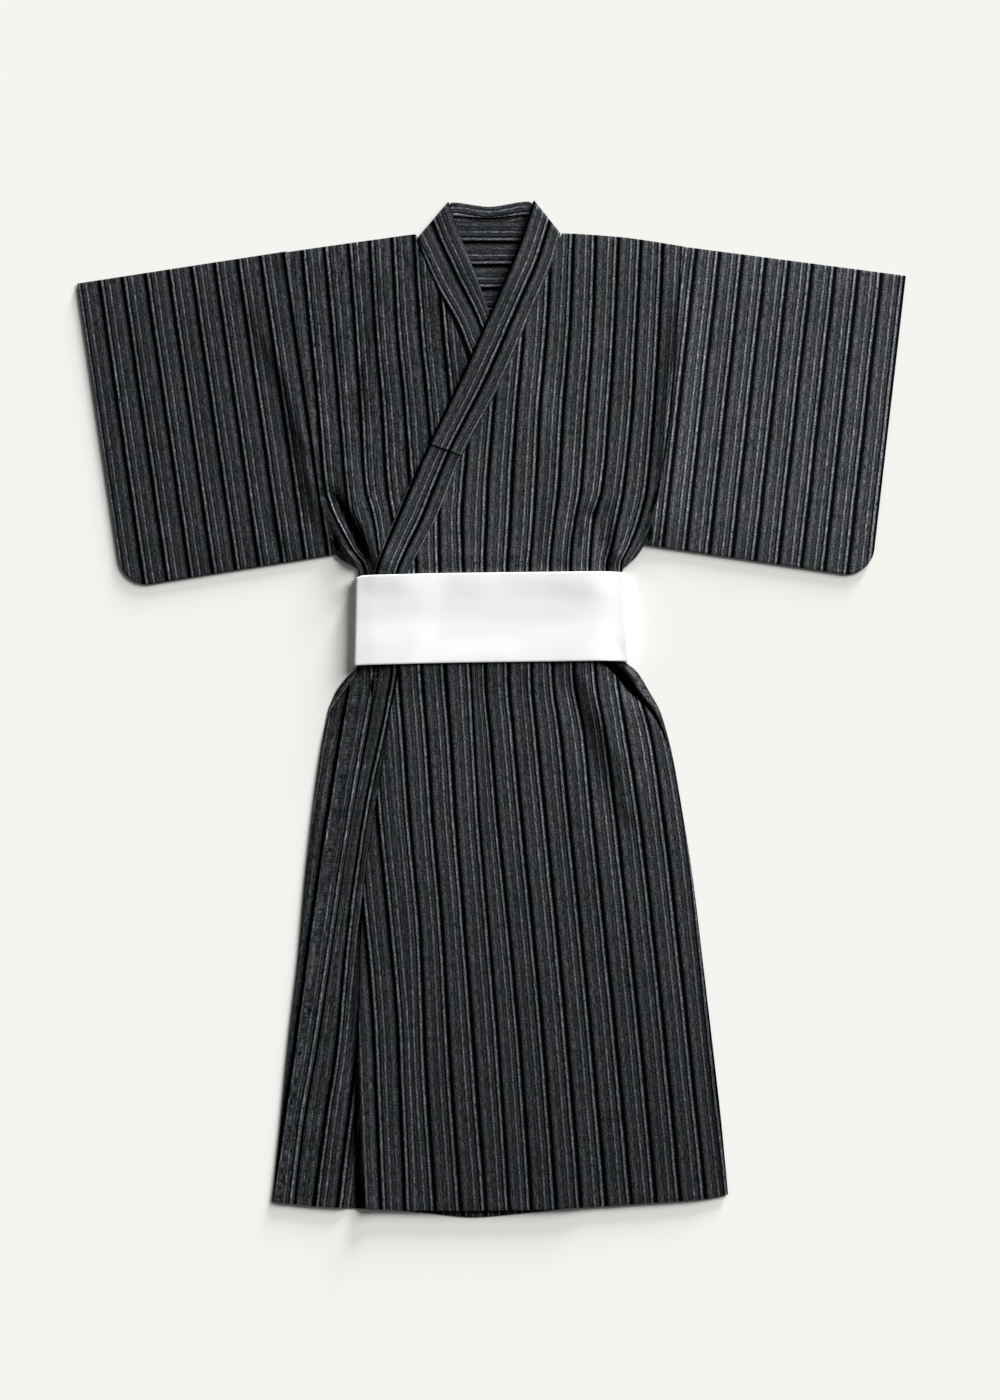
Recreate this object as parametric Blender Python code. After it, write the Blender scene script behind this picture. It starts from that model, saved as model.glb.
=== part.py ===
"""Cotton yukata laid flat on a surface, closed left over right and held by its obi.

Every piece that a maker cuts is one closed wall of cloth.  The robe lies on its back: +Y runs
from the hem to the collar, +Z up from the surface, and X to the wearer's left.  The origin is
under the middle of the whole garment.  Tables are in millimetres; the meshes are in metres.
"""
import math

import bmesh
import bpy
import numpy as np

MM = 0.001

# Walls and clearances, mm.
CLOTH = 1.5            # body, sleeves and overlaps
COLLAR_CLOTH = 1.5     # the collar strip, folded along its length
OVERLAY_CLOTH = 1.2    # the second collar strip that covers the first one round the neck
LINING_CLOTH = 1.0
OBI_CLOTH = 2.0        # the sash, several layers of plain cotton
SEAM = 0.3             # between pieces that touch
AIR = 0.8              # between front and back along folds and seams
WRAP_AIR = 0.7         # more room where the left front lies on the right one

# The obi round the waist.
OBI_LOW, OBI_HIGH = 69.0, 210.0
LIFT_EDGE = 8.0        # the back panels lie on the obi from this far outside its edges
LIFT_RAMP = 55.0       # over which they climb onto it
OBI_ROOM = 0.7         # between the obi and the gathers inside it
OBI_CORNER = 4.0       # round of the band where it turns to the back
OBI_TILT = 4.0         # the right end lies this much lower than the middle
TILT_FROM, TILT_TO = -214.0, -40.0

# Where one layer lies on another.
EDGE_ROUND = 42.0      # over which a panel rises from its edge
TOP_ROUND = 45.0       # the same below the shoulder fold
COVERED_RAMP = 90.0    # the right front flattens over this width under the left one,
COVERED_FLAT = 0.6     # by this share of its air
STEP_START, STEP_END = 12.0, 60.0   # the left front comes down beyond the right one's edge
CROSSING = (-10.0, 579.0)           # where the collars cross; the right one runs on under
CROSSING_END = (25.0, 500.0)        # the left front and lifts it down to here
CROSSING_RISE, CROSSING_END_RISE = 4.1, 2.3
CROSSING_SIZE = 82.0

SHOULDER_FOLD = CLOTH + AIR / 2     # outer radius of the folds over shoulders and sleeves
FOLD_TURNS = np.radians([60, 20, -20, -60])

INDIGO_BLACK = (0.046, 0.048, 0.052)
OVERLAP_BLACK = (0.040, 0.042, 0.047)
SLEEVE_BLACK = (0.052, 0.054, 0.058)
COLLAR_BLACK = (0.034, 0.036, 0.041)
LINING_BLACK = (0.030, 0.031, 0.034)
OBI_WHITE = (0.86, 0.86, 0.85)


def table(columns, *rows):
    """A short table with named columns, kept as one array for each column."""
    return {name: np.array(values, float) for name, values in zip(columns.split(), zip(*rows))}


# Each sleeve: its cuff's ends and the ends of its seam with the body, which bends once.
SLEEVES = {
    "right": table(
        "cuff_x  cuff_y  seam_x  seam_y",
        (-642,   659,    -317,   709),
        (-571,   186,    -241,   239)),
    "left": table(
        "cuff_x  cuff_y  seam_x  seam_y",
        (642,    671,    298,    716),
        (588,    202,    237,    254))}
SEAM_BEND = 0.16       # height of the bend, as a share of the seam
SEAM_BEND_X = {"right": -263.5, "left": 259.0}
CUFF_CORNER = 45.0     # radius of a sleeve's lower outer corner
CUFF_OPENING = 255.0   # the hand's opening, from the top fold down
CUFF_SEAM = 6.0        # width of the joined layers below that opening
SLEEVE_LOFT = 2.8      # how far the air in a sleeve lifts its front,
SLEEVE_EDGE = 60.0     # rising from the edges over this width

# Side edges below the sleeves.  The fronts meet the back's, except at the corners of the obi,
# where they lie inside them and the back shows beside the gathers.
SIDES = table(
    "y      right   left   front_right  front_left",
    (254,   -245.4, 237,   -245.4,      237),
    (239,   -241,   228,   -241,        228),
    (226,   -224,   216,   -225,        215),
    (214.5, -207,   203,   -206.5,      202.5),
    (138,   -206.5, 204,   -205,        203),
    (74,    -207,   205,   -202,        188),
    (63,    -211,   210,   -205,        190),
    (50,    -228,   233,   -212,        199),
    (28,    -245,   245,   -231,        220),
    (0,     -258,   258,   -250,        248),
    (-30,   -264,   269,   -262,        267),
    (-79,   -272,   280,   -271.5,      279.5),
    (-141,  -280,   291,   -279.5,      290.5),
    (-265,  -294,   311,   -293.5,      310.5),
    (-389,  -305,   326,   -304.5,      325.5),
    (-513,  -319,   340,   -318.5,      339.5),
    (-637,  -331,   354,   -330.5,      353.5),
    (-790,  -347,   369,   -346.5,      368.5))

# Front edge of the left front, which lies on top: under its collar down to the obi, then free.
WRAP_EDGE = table(
    "y      x",
    (740,   111),
    (736,   109),
    (727,   103),
    (715,   93),
    (693,   77),
    (617,   44),
    (499,   -7),
    (392,   -64),
    (291,   -106),
    (209,   -143),
    (138,   -148),
    (65,    -146),
    (-17,   -159),
    (-106,  -171),
    (-188,  -184),
    (-296,  -198),
    (-391,  -203),
    (-513,  -205),
    (-670,  -201),
    (-790,  -194))

# Seam between the left front and its overlap, from the overlap's point to the hem.
LEFT_OVERLAP_SEAM = table(
    "y      x",
    (-17,   -159),
    (-296,  -137),
    (-790,  -115))

# Inner edge of the right front, mostly hidden under the left one, and how far its collar and
# the overlap sewn to it reach.
RIGHT_INNER = table(
    "y      front   reach",
    (740,   -117,   -111),
    (733,   -116,   -90),
    (727,   -110,   -70),
    (720,   -102,   -48),
    (710,   -94,    -40),
    (545,   -12,    24),
    (386,   58,     86),
    (300,   90,     110),
    (209,   108,    118),
    (65,    100,    118),
    (-18,   70,     150),
    (-221,  42,     152),
    (-450,  5,      140),
    (-790,  -50,    100))

SHOULDER = table(
    "x      y",
    (-322,  707),
    (-173,  728),
    (-109,  736),
    (-60,   738),
    (60,    738),
    (107,   737),
    (199,   731),
    (301,   716))

HEM = table(
    "x      front   back",
    (-347,  -761,   -760),
    (-337,  -764,   -762),
    (-207,  -774,   -772),
    (-98,   -777,   -782),
    (-30,   -777,   -788),
    (50,    -776,   -782),
    (153,   -772,   -771),
    (213,   -768,   -767),
    (342,   -758,   -757),
    (369,   -752,   -751))

# How far the air under the fronts lifts them along the middle of the garment.
LOFT = table(
    "y      air",
    (740,   0.6),
    (650,   3.2),
    (500,   4.4),
    (350,   4.8),
    (255,   6.6),
    (209,   6.0),
    (138,   5.2),
    (69,    6.0),
    (20,    6.2),
    (-100,  4.6),
    (-300,  3.6),
    (-600,  2.8),
    (-790,  1.4))

# Largest folds: soft ridges (+) and troughs (-) along straight runs.
FOLDS = table(
    "x0     y0     x1     y1     width  height",
    (-258,  322,   -204,  207,   9,     3.4),      # right underarm: rolled strip
    (-246,  330,   -185,  213,   7,     -6.0),     # its deep crease
    (-222,  368,   -164,  228,   17,    3.0),      # the cloth beside the crease
    (250,   330,   222,   232,   11,    2.6),      # left underarm: gathers
    (160,   300,   176,   216,   9,     -2.6),
    (188,   320,   196,   216,   13,    2.4),
    (120,   290,   132,   214,   12,    1.4),
    (-292,  590,   -272,  420,   17,    -1.6),     # troughs beside the sleeve seams
    (266,   560,   256,   380,   16,    -1.8),
    (-150,  520,   -140,  300,   26,    0.8),
    (140,   560,   120,   330,   30,    0.7),
    (165,   46,    196,   -118,  15,    -2.8),     # left skirt: trough below the obi
    (196,   40,    236,   -130,  18,    2.0),
    (120,   52,    136,   -90,   18,    1.2),
    (-214,  24,    -236,  -110,  14,    1.6),      # right skirt: gathers below the obi
    (-186,  50,    -204,  -60,   9,     -1.6),
    (60,    50,    70,    -80,   20,    0.7),
    (-60,   50,    -64,   -70,   20,    0.6),
    (10,    -260,  24,    -620,  60,    0.7))

# Each collar's two edges, from the top of the shoulder down; the right one lies underneath.
LEFT_BAND = table(
    "in_x   in_y   out_x  out_y",
    (66,    788,   107,   737),
    (41,    714,   95,    693),
    (9,     638,   63,    617),
    (-43,   522,   12,    499),
    (-94,   410,   -45,   392),
    (-139,  311,   -88,   291),
    (-182,  209,   -128,  209),
    (-196,  138,   -142,  138))
RIGHT_BAND = table(
    "in_x   in_y   out_x  out_y",
    (-67,   786,   -111,  733),
    (-50,   737,   -98,   716),
    (-27,   677,   -75,   655),
    (-5,    618,   -52,   592),
    (21,    548,   -29,   528),
    (60,    448,   10,    426),
    (100,   339,   53,    314),
    (116,   262,   66,    244))
LEFT_END, RIGHT_END = 6.7, 7.0      # rows of the tables where the collars end
LEFT_OVERLAY_END, RIGHT_OVERLAY_END = 4.0, 3.85
COLLAR_ROOM = 0.45     # under the collars, beyond the seam's gap;
COLLAR_TIGHT = 0.3     # this share of it where the left one lies on plain cloth
TIGHT_LOW, TIGHT_FULL = 260.0, 300.0
NECK_START, NECK_FULL = 640.0, 720.0    # where the left collar comes down on its own front
NECK_ROLL = 9.0        # round of the collars at the top of the shoulders
COVER_START, COVER_END = (-30.0, -4.0), (58.0, 84.0)    # collar under the obi, across

# Back of the neck: the strip's fold at the top and the edge of its turned-in part.
BACK_NECK = table(
    "x      top    turned",
    (-72,   764,   758),
    (-66,   778,   763),
    (-60,   783.5, 764),
    (-4,    778,   761),
    (56,    785,   766),
    (63,    781,   766),
    (70,    765,   760))
BACK_NECK_FOOT = 738.5
BACK_NECK_STEP = 7.1
BACK_NECK_TURNS = np.radians([-55, -18, 18, 55])
NECK_CUT_Y = (736.0, 728.0, 720.0, 710.0)   # the back's neckline, from its corner to the middle
NECK_CUT_IN, NECK_CUT_X = 3.0, 70.0

LINING = table(
    "y      right   left",
    (755,   -64,    64),
    (735,   -91,    90),
    (700,   -77,    78),
    (650,   -56,    56),
    (600,   -33,    35),
    (572,   -20,    23))


def curve(rows, key, value, at):
    """Smooth curve through one column of a table, kept between neighbouring rows (PCHIP)."""
    order = np.argsort(rows[key])
    x, y = rows[key][order], rows[value][order]
    step = np.diff(x)
    slope = np.diff(y) / step
    tangent = np.zeros_like(y)
    same_way = slope[:-1] * slope[1:] > 0
    before, after = step[:-1][same_way], step[1:][same_way]
    tangent[1:-1][same_way] = 3 * (before + after) / (
        (2 * after + before) / slope[:-1][same_way] + (after + 2 * before) / slope[1:][same_way])
    tangent[0], tangent[-1] = slope[0], slope[-1]
    at = np.clip(np.asarray(at, float), x[0], x[-1])
    i = np.clip(np.searchsorted(x, at) - 1, 0, len(step) - 1)
    t = (at - x[i]) / step[i]
    return ((1 + 2 * t) * (1 - t) ** 2 * y[i] + t * (1 - t) ** 2 * step[i] * tangent[i]
            + t * t * (3 - 2 * t) * y[i + 1] + t * t * (t - 1) * step[i] * tangent[i + 1])


def ramp(low, high, at):
    """0 up to low, 1 from high on, smooth between."""
    t = np.clip((at - low) / (high - low), 0, 1)
    return t * t * (3 - 2 * t)


def rise(distance, reach):
    """0 at an edge and 1 from reach inwards, steepest at the edge."""
    return 1 - (1 - np.clip(distance / reach, 0, 1)) ** 2


# ---- heights ------------------------------------------------------------------------------

def lift(y):
    """How far the obi under the robe lifts the back panels."""
    climb = ramp(OBI_LOW - LIFT_RAMP, OBI_LOW - LIFT_EDGE, y)
    fall = ramp(OBI_HIGH + LIFT_EDGE, OBI_HIGH + LIFT_RAMP, y)
    return (OBI_CLOTH + SEAM) * climb * (1 - fall)


def along_run(x, y, x0, y0, x1, y1):
    """How far a place lies along a straight run, 0 to 1, and how far away from it."""
    run_x, run_y = x1 - x0, y1 - y0
    along = np.clip(((x - x0) * run_x + (y - y0) * run_y) / (run_x ** 2 + run_y ** 2), 0, 1)
    return along, np.hypot(x - x0 - along * run_x, y - y0 - along * run_y)


def fold_height(x, y):
    """Sum of the largest folds, each a rounded ridge or trough round a straight run."""
    total = 0
    for *run, width, height in zip(*FOLDS.values()):
        _, away = along_run(x, y, *run)
        total = total + height * np.exp(-(away / width) ** 2)
    return total


def sleeve_seam(side, y):
    """The straight runs of a sleeve's seam with the body."""
    ends = SLEEVES[side]
    fold = SHOULDER_FOLD
    low, top = ends["seam_y"][1] + fold, ends["seam_y"][0] - fold
    bend = low + SEAM_BEND * (top - low)
    return np.interp(y, (ends["seam_y"][1], bend, ends["seam_y"][0]),
                     (ends["seam_x"][1], SEAM_BEND_X[side], ends["seam_x"][0]))


def side_edge(side, layer, y):
    """Side of the body: the sleeve's seam, and below it the edge of the back or a front."""
    column = side if layer == "back" else f"front_{side}"
    return np.where(y > SLEEVES[side]["seam_y"][1], sleeve_seam(side, y),
                    curve(SIDES, "y", column, y))


def body_air(x, y):
    """Height of the air between the back and the fronts, dying out at every edge."""
    right, left = side_edge("right", "front", y), side_edge("left", "front", y)
    inside = rise(x - right, EDGE_ROUND) * rise(left - x, EDGE_ROUND)
    inside = inside * rise(curve(SHOULDER, "x", "y", x) - y, TOP_ROUND)
    return np.maximum(AIR, AIR + inside * (curve(LOFT, "y", "air", y) + fold_height(x, y)))


def crossing_rise(x, y):
    """How far the right collar lifts what lies on it near the place where the two cross."""
    along, away = along_run(x, y, *CROSSING, *CROSSING_END)
    height = CROSSING_RISE + (CROSSING_END_RISE - CROSSING_RISE) * along
    return height * np.exp(-(away / CROSSING_SIZE) ** 2)


def right_front_floor(x, y):
    """Underside of the right front; where the left one covers it, it lies flatter."""
    cover = ramp(0, COVERED_RAMP, x - curve(WRAP_EDGE, "y", "x", y))
    air = AIR + (body_air(x, y) - AIR) * (1 - COVERED_FLAT * cover)
    return lift(y) + CLOTH + air


def left_front_floor(x, y):
    """Underside of the left front: on the right one, or on the back beyond its edge."""
    reach = curve(RIGHT_INNER, "y", "reach", y)
    on_right = 1 - ramp(reach + STEP_START, reach + STEP_END, x)
    step = CLOTH + SEAM + WRAP_AIR + crossing_rise(x, y)
    return lift(y) + CLOTH + body_air(x, y) + on_right * step


def band_cover(x, y):
    """1 on the left collar where it goes under the obi, 0 away from it."""
    start = curve(LEFT_BAND, "in_y", "in_x", y)
    begun = ramp(start + COVER_START[0], start + COVER_START[1], x)
    return begun * (1 - ramp(start + COVER_END[0], start + COVER_END[1], x))


# ---- walls --------------------------------------------------------------------------------

def material(name, colour, roughness):
    finish = bpy.data.materials.new(name)
    finish.use_nodes = True
    shader = finish.node_tree.nodes["Principled BSDF"]
    shader.inputs["Base Color"].default_value = (*colour, 1)
    shader.inputs["Roughness"].default_value = roughness
    shader.inputs["Metallic"].default_value = 0
    return finish


def wall(name, outer, inner, finish, ring=False):
    """A closed wall between two grids of points, rows by columns; ring closes the columns."""
    rows, columns = outer.shape[:2]
    mesh = bmesh.new()
    outside = [[mesh.verts.new(point) for point in row] for row in outer * MM]
    inside = [[mesh.verts.new(point) for point in row] for row in inner * MM]
    last = columns if ring else columns - 1
    for i in range(rows - 1):
        for j in range(last):
            k = (j + 1) % columns
            mesh.faces.new((outside[i][j], outside[i][k], outside[i + 1][k], outside[i + 1][j]))
            mesh.faces.new((inside[i][j], inside[i + 1][j], inside[i + 1][k], inside[i][k]))
    for i in (0, rows - 1):
        for j in range(last):
            k = (j + 1) % columns
            mesh.faces.new((outside[i][j], outside[i][k], inside[i][k], inside[i][j]))
    if not ring:
        for j in (0, columns - 1):
            for i in range(rows - 1):
                mesh.faces.new((outside[i][j], outside[i + 1][j],
                                inside[i + 1][j], inside[i][j]))
    bmesh.ops.recalc_face_normals(mesh, faces=mesh.faces)
    data = bpy.data.meshes.new(name)
    mesh.to_mesh(data)
    mesh.free()
    data.shade_smooth()
    data.set_sharp_from_angle(angle=math.radians(50))
    data.materials.append(finish)
    piece = bpy.data.objects.new(name, data)
    bpy.context.collection.objects.link(piece)
    return piece


def stack(x, y, z):
    return np.stack(np.broadcast_arrays(x, y, z), axis=-1)


def sheet(name, x, y, floor, thickness, finish):
    """A single layer of cloth over a grid of places, with its underside at floor."""
    return wall(name, stack(x, y, floor + thickness), stack(x, y, floor), finish)


# ---- body ---------------------------------------------------------------------------------

FRONT_ROWS = np.array([
    -775, -745, -690, -620, -540, -460, -380, -300, -225, -160, -110, -70, -36, -8, 16, 38, 52,
    63, 78, 108, 138, 172, 200, 214.5, 227, 240, 254, 285, 360, 410, 470, 530, 585, 640, 690,
    718])
BACK_ROWS = np.array([
    736, 728, 720, 710, 690, 620, 500, 380, 285, 262, 254, 240, 227, 214.5, 138, 74, 63, 50, 32,
    14, -20, -79, -200, -389, -600, -775])
ACROSS = np.array([
    0, 0.09, 0.19, 0.3, 0.41, 0.51, 0.6, 0.68, 0.755, 0.825, 0.885, 0.935, 0.975, 1])
EDGE_ROUNDS = 3        # passes that settle a row's end on the side edge
OVERLAP_ACROSS = np.linspace(0, 1, 4)
OVERLAP_POINT = 14.0   # blunt end of the left overlap
RIGHT_OVERLAP_TOP = 58.0
HEM_REACH, SHOULDER_REACH = 150.0, 110.0
HEM_LEVEL, SHOULDER_LEVEL = FRONT_ROWS[0], 736.0


def settle(x, level, hem):
    """Place a row: level across the panel, bending to the hem and the shoulder at its ends."""
    near_hem = 1 - ramp(HEM_LEVEL, HEM_LEVEL + HEM_REACH, level)
    near_top = ramp(SHOULDER_LEVEL - SHOULDER_REACH, SHOULDER_LEVEL, level)
    return (level + near_hem * (curve(HEM, "x", hem, x) - HEM_LEVEL)
            + near_top * (curve(SHOULDER, "x", "y", x) - SHOULDER_FOLD - SHOULDER_LEVEL))


def body(side, finish):
    """One length of cloth from the front hem over the shoulder to the back hem."""
    left = side == "left"
    sign = 1 if left else -1
    floor = left_front_floor if left else right_front_floor
    ends = SLEEVES[side]["seam_y"]
    bend = ends[1] + SHOULDER_FOLD + SEAM_BEND * (ends[0] - ends[1] - 2 * SHOULDER_FOLD)

    def spread(levels, inner_edge, layer, hem):
        """Points across the panel at each level, with its side edge where the seam runs."""
        level = levels[:, None]
        start = inner_edge(level)
        edge = side_edge(side, layer, level)
        for _ in range(EDGE_ROUNDS):
            edge = side_edge(side, layer, settle(edge, level, hem))
        x = start + (edge - sign * SEAM / 2 - start) * ACROSS
        return x, settle(x, level, hem)

    def front_edge(level):
        if left:
            seam = curve(LEFT_OVERLAP_SEAM, "y", "x", level)
            wrap = curve(WRAP_EDGE, "y", "x", level)
            return np.where(level < LEFT_OVERLAP_SEAM["y"][0], np.maximum(seam, wrap), wrap)
        return curve(RIGHT_INNER, "y", "front", level)

    def centre_back(level):
        neck = abs(x_front[-1, 0])
        cut = (neck, neck - NECK_CUT_IN, NECK_CUT_X, SEAM / 2)
        return sign * np.interp(-level, np.negative(NECK_CUT_Y), cut)

    front_levels = np.sort(np.append(FRONT_ROWS, (bend, SHOULDER_LEVEL)))
    x_front, y_front = spread(front_levels, front_edge, "front", "front")
    z_front = floor(x_front, y_front)
    z_front[-1] = CLOTH + AIR
    x_back, y_back = spread(np.sort(np.append(BACK_ROWS, bend))[::-1], centre_back,
                            "back", "back")
    z_back = lift(y_back)

    turn = FOLD_TURNS[:, None]
    radius = SHOULDER_FOLD
    y_turn = curve(SHOULDER, "x", "y", x_front[-1]) - radius
    outer_turn = stack(x_front[-1], y_turn + radius * np.cos(turn), radius + radius * np.sin(turn))
    inner_turn = stack(x_front[-1], y_turn + AIR / 2 * np.cos(turn),
                       radius + AIR / 2 * np.sin(turn))
    outer = np.concatenate((stack(x_front, y_front, z_front + CLOTH), outer_turn,
                            stack(x_back, y_back, z_back)))
    inner = np.concatenate((stack(x_front, y_front, z_front), inner_turn,
                            stack(x_back, y_back, z_back + CLOTH)))
    return wall(f"body_{side}", outer, inner, finish)


def left_overlap(finish):
    """Narrow gore sewn to the left front's edge; it runs out to a point below the obi."""
    tip = LEFT_OVERLAP_SEAM["y"][0] - OVERLAP_POINT
    level = np.append(FRONT_ROWS[FRONT_ROWS < tip], tip)[:, None]
    free = curve(WRAP_EDGE, "y", "x", level)
    seam = curve(LEFT_OVERLAP_SEAM, "y", "x", level) - SEAM
    x = free + (seam - free) * OVERLAP_ACROSS
    y = settle(x, level, "front")
    return sheet("overlap_left", x, y, left_front_floor(x, y), CLOTH, finish)


def right_overlap(finish):
    """Gore sewn to the right front, all of it under the left front."""
    level = FRONT_ROWS[FRONT_ROWS <= RIGHT_OVERLAP_TOP][:, None]
    seam = curve(RIGHT_INNER, "y", "front", level) + SEAM
    free = curve(RIGHT_INNER, "y", "reach", level)
    x = seam + (free - seam) * OVERLAP_ACROSS
    y = settle(x, level, "front")
    return sheet("overlap_right", x, y, right_front_floor(x, y), CLOTH, finish)


# ---- sleeves ------------------------------------------------------------------------------

SLEEVE_COLUMNS = np.array([0, 0.05, 0.12, 0.22, 0.34, 0.46, 0.58, 0.7, 0.8])
CORNER_TURNS = np.radians([0, 25, 45, 62, 78, 90])
SLEEVE_HEIGHTS = np.array([0, 0.04, 0.09, SEAM_BEND, 0.25, 0.36, 0.48, 0.6, 0.72, 0.83, 0.92,
                           0.97, 1])
SLEEVE_BACK_HEIGHTS = np.array([1, 0.6, SEAM_BEND, 0])


def sleeve(side, finish):
    """A folded tube: closed by its fold at the top and its seam below, open at both ends."""
    sign = 1 if side == "left" else -1
    ends = SLEEVES[side]
    (cuff_top, cuff_low), (seam_top, seam_low) = ends["cuff_y"], ends["seam_y"]

    def seam_x(y):
        return sleeve_seam(side, y) + sign * SEAM / 2

    def cuff_x(y):
        fall = (cuff_top - y) / (cuff_top - cuff_low)
        return ends["cuff_x"][0] + fall * (ends["cuff_x"][1] - ends["cuff_x"][0])

    width = abs(ends["cuff_x"][1] - ends["seam_x"][1])
    corner = 1 - CUFF_CORNER * (1 - np.sin(CORNER_TURNS)) / width
    across = np.concatenate((SLEEVE_COLUMNS, corner))[:, None]
    raised = np.concatenate((0 * SLEEVE_COLUMNS, CUFF_CORNER * (1 - np.cos(CORNER_TURNS))))
    top = seam_top + across * (cuff_top - seam_top)
    low = seam_low + across * (cuff_low - seam_low)
    low = low + raised[:, None]

    def place(height, top, low):
        y = low + (top - low) * height
        return seam_x(y) + across * (cuff_x(y) - seam_x(y)), y

    fold = SHOULDER_FOLD
    x, y = place(SLEEVE_HEIGHTS, top - fold, low + fold)
    inside = rise(top - fold - y, SLEEVE_EDGE) * rise(y - low - fold, SLEEVE_EDGE)
    inside = inside * rise(np.abs(x - seam_x(y)), EDGE_ROUND)
    inside = inside * rise(np.abs(cuff_x(y) - x), SLEEVE_EDGE)
    air = np.maximum(AIR, AIR + inside * (SLEEVE_LOFT + fold_height(x, y)))
    x_back, y_back = place(SLEEVE_BACK_HEIGHTS, top - fold, low + fold)

    # The hand's opening: near the cuff the layers below it are sewn together.
    mouth = np.where(across > 1 - CUFF_SEAM / width, top - CUFF_OPENING, low + fold)
    x_in, y_in = place(SLEEVE_HEIGHTS, top - fold, mouth)
    x_in_back, y_in_back = place(SLEEVE_BACK_HEIGHTS, top - fold, mouth)

    def turned(x, y, sideways, radius):
        turns = sideways * FOLD_TURNS
        return stack(x[:, None], y[:, None] + sideways * radius * np.cos(turns),
                     fold + radius * np.sin(turns))

    outer = np.concatenate((
        stack(x, y, 2 * CLOTH + air),
        turned(x[:, -1], y[:, -1], 1, fold),
        stack(x_back, y_back, 0),
        turned(x[:, 0], y[:, 0], -1, fold)), axis=1)
    inner = np.concatenate((
        stack(x_in, y_in, CLOTH + air),
        turned(x_in[:, -1], y_in[:, -1], 1, AIR / 2),
        stack(x_in_back, y_in_back, CLOTH),
        turned(x_in[:, 0], y_in[:, 0], -1, AIR / 2)), axis=1)
    return wall(f"sleeve_{side}", outer, inner, finish, ring=True)


# ---- collar -------------------------------------------------------------------------------

BAND_ACROSS = np.linspace(0, 1, 5)
BAND_STEPS = 4         # rows between two rows of a band's table
BAND_LAST_STEP = 0.08  # least length of the last one, in the table's rows
ROLL_TURNS = np.radians([0, 30, 60, 90])


def band(name, edges, floor, first, last, thickness, finish):
    """A stretch of collar between two of its table's rows, rolled over the shoulder's top."""
    rows = np.arange(len(edges["in_x"]))
    lanes = {**edges, "row": rows}

    def place(row):
        row = np.asarray(row)[:, None]
        x_in, y_in, x_out, y_out = (curve(lanes, "row", key, row) for key in edges)
        return (x_in + (x_out - x_in) * BAND_ACROSS, y_in + (y_out - y_in) * BAND_ACROSS)

    first_run = math.hypot(edges["in_x"][1] - edges["in_x"][0],
                           edges["in_y"][1] - edges["in_y"][0])
    roll = (NECK_ROLL - first) / first_run
    start = first / first_run
    skin = thickness / first_run
    flat_rows = np.arange(start + roll, last, 1 / BAND_STEPS)[1:]
    flat_rows = np.append(flat_rows[flat_rows < last - BAND_LAST_STEP], last)
    outer_rows = np.append(start + roll * (1 - np.cos(ROLL_TURNS)), flat_rows)
    inner_rows = np.append(start + skin + (roll - skin) * (1 - np.cos(ROLL_TURNS)), flat_rows)
    round_off = np.append(np.sin(ROLL_TURNS), np.ones_like(flat_rows))[:, None]
    x, y = place(outer_rows)
    x_in, y_in = place(inner_rows)
    return wall(name, stack(x, y, (floor(x, y) + thickness) * round_off),
                stack(x_in, y_in, floor(x_in, y_in) * round_off), finish)


def left_collar_floor(x, y):
    """Underside of the left collar: on both fronts, and on the left one alone at the neck."""
    on_right = 1 - ramp(NECK_START, NECK_FULL, y)
    under = (CLOTH + SEAM + WRAP_AIR) * on_right + crossing_rise(x, y)
    tight = ramp(TIGHT_LOW, TIGHT_FULL, y) * on_right
    room = COLLAR_ROOM * (1 - (1 - COLLAR_TIGHT) * tight)
    return lift(y) + CLOTH + body_air(x, y) + under + CLOTH + SEAM + room


def right_collar_floor(x, y):
    """Underside of the right collar."""
    return right_front_floor(x, y) + CLOTH + SEAM + COLLAR_ROOM


def collars(finish):
    """Each side's collar, and on it the second strip that covers it round the neck."""
    under = OVERLAY_CLOTH + SEAM
    bands = (("left", LEFT_BAND, left_collar_floor, LEFT_OVERLAY_END, LEFT_END),
             ("right", RIGHT_BAND, right_collar_floor, RIGHT_OVERLAY_END, RIGHT_END))
    for side, edges, floor, overlay_end, end in bands:
        band(f"collar_{side}", edges, floor, under, end, COLLAR_CLOTH, finish)
        band(f"collar_overlay_{side}", edges,
             lambda x, y, floor=floor: floor(x, y) + COLLAR_CLOTH + SEAM,
             0, overlay_end, OVERLAY_CLOTH, finish)


def back_collar(finish):
    """The collar behind the neck, folded over at the top with its edge turned down inside."""
    x = np.arange(BACK_NECK["x"][0], BACK_NECK["x"][-1] + 1, BACK_NECK_STEP)[:, None]
    top = curve(BACK_NECK, "x", "top", x)
    turned = curve(BACK_NECK, "x", "turned", x)
    layer = OVERLAY_CLOTH
    gap = LINING_CLOTH + 2 * SEAM + (CLOTH - layer)
    height = 2 * layer + gap
    radius = height / 2
    ends = np.array([0, 0.5, 1])
    turns = BACK_NECK_TURNS
    low_y = BACK_NECK_FOOT + (top - radius - BACK_NECK_FOOT) * ends
    high_y = top - radius + (turned - top + radius) * ends
    outer = np.concatenate((stack(x, low_y, 0),
                            stack(x, top - radius + radius * np.cos(turns),
                                  radius + radius * np.sin(turns)),
                            stack(x, high_y, height)), axis=1)
    inner = np.concatenate((stack(x, low_y, layer),
                            stack(x, top - radius + gap / 2 * np.cos(turns),
                                  radius + gap / 2 * np.sin(turns)),
                            stack(x, high_y, height - layer)), axis=1)
    return wall("collar_back", outer, inner, finish)


LINING_ROWS = 12
LINING_ACROSS = np.linspace(0, 1, 7)


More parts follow.
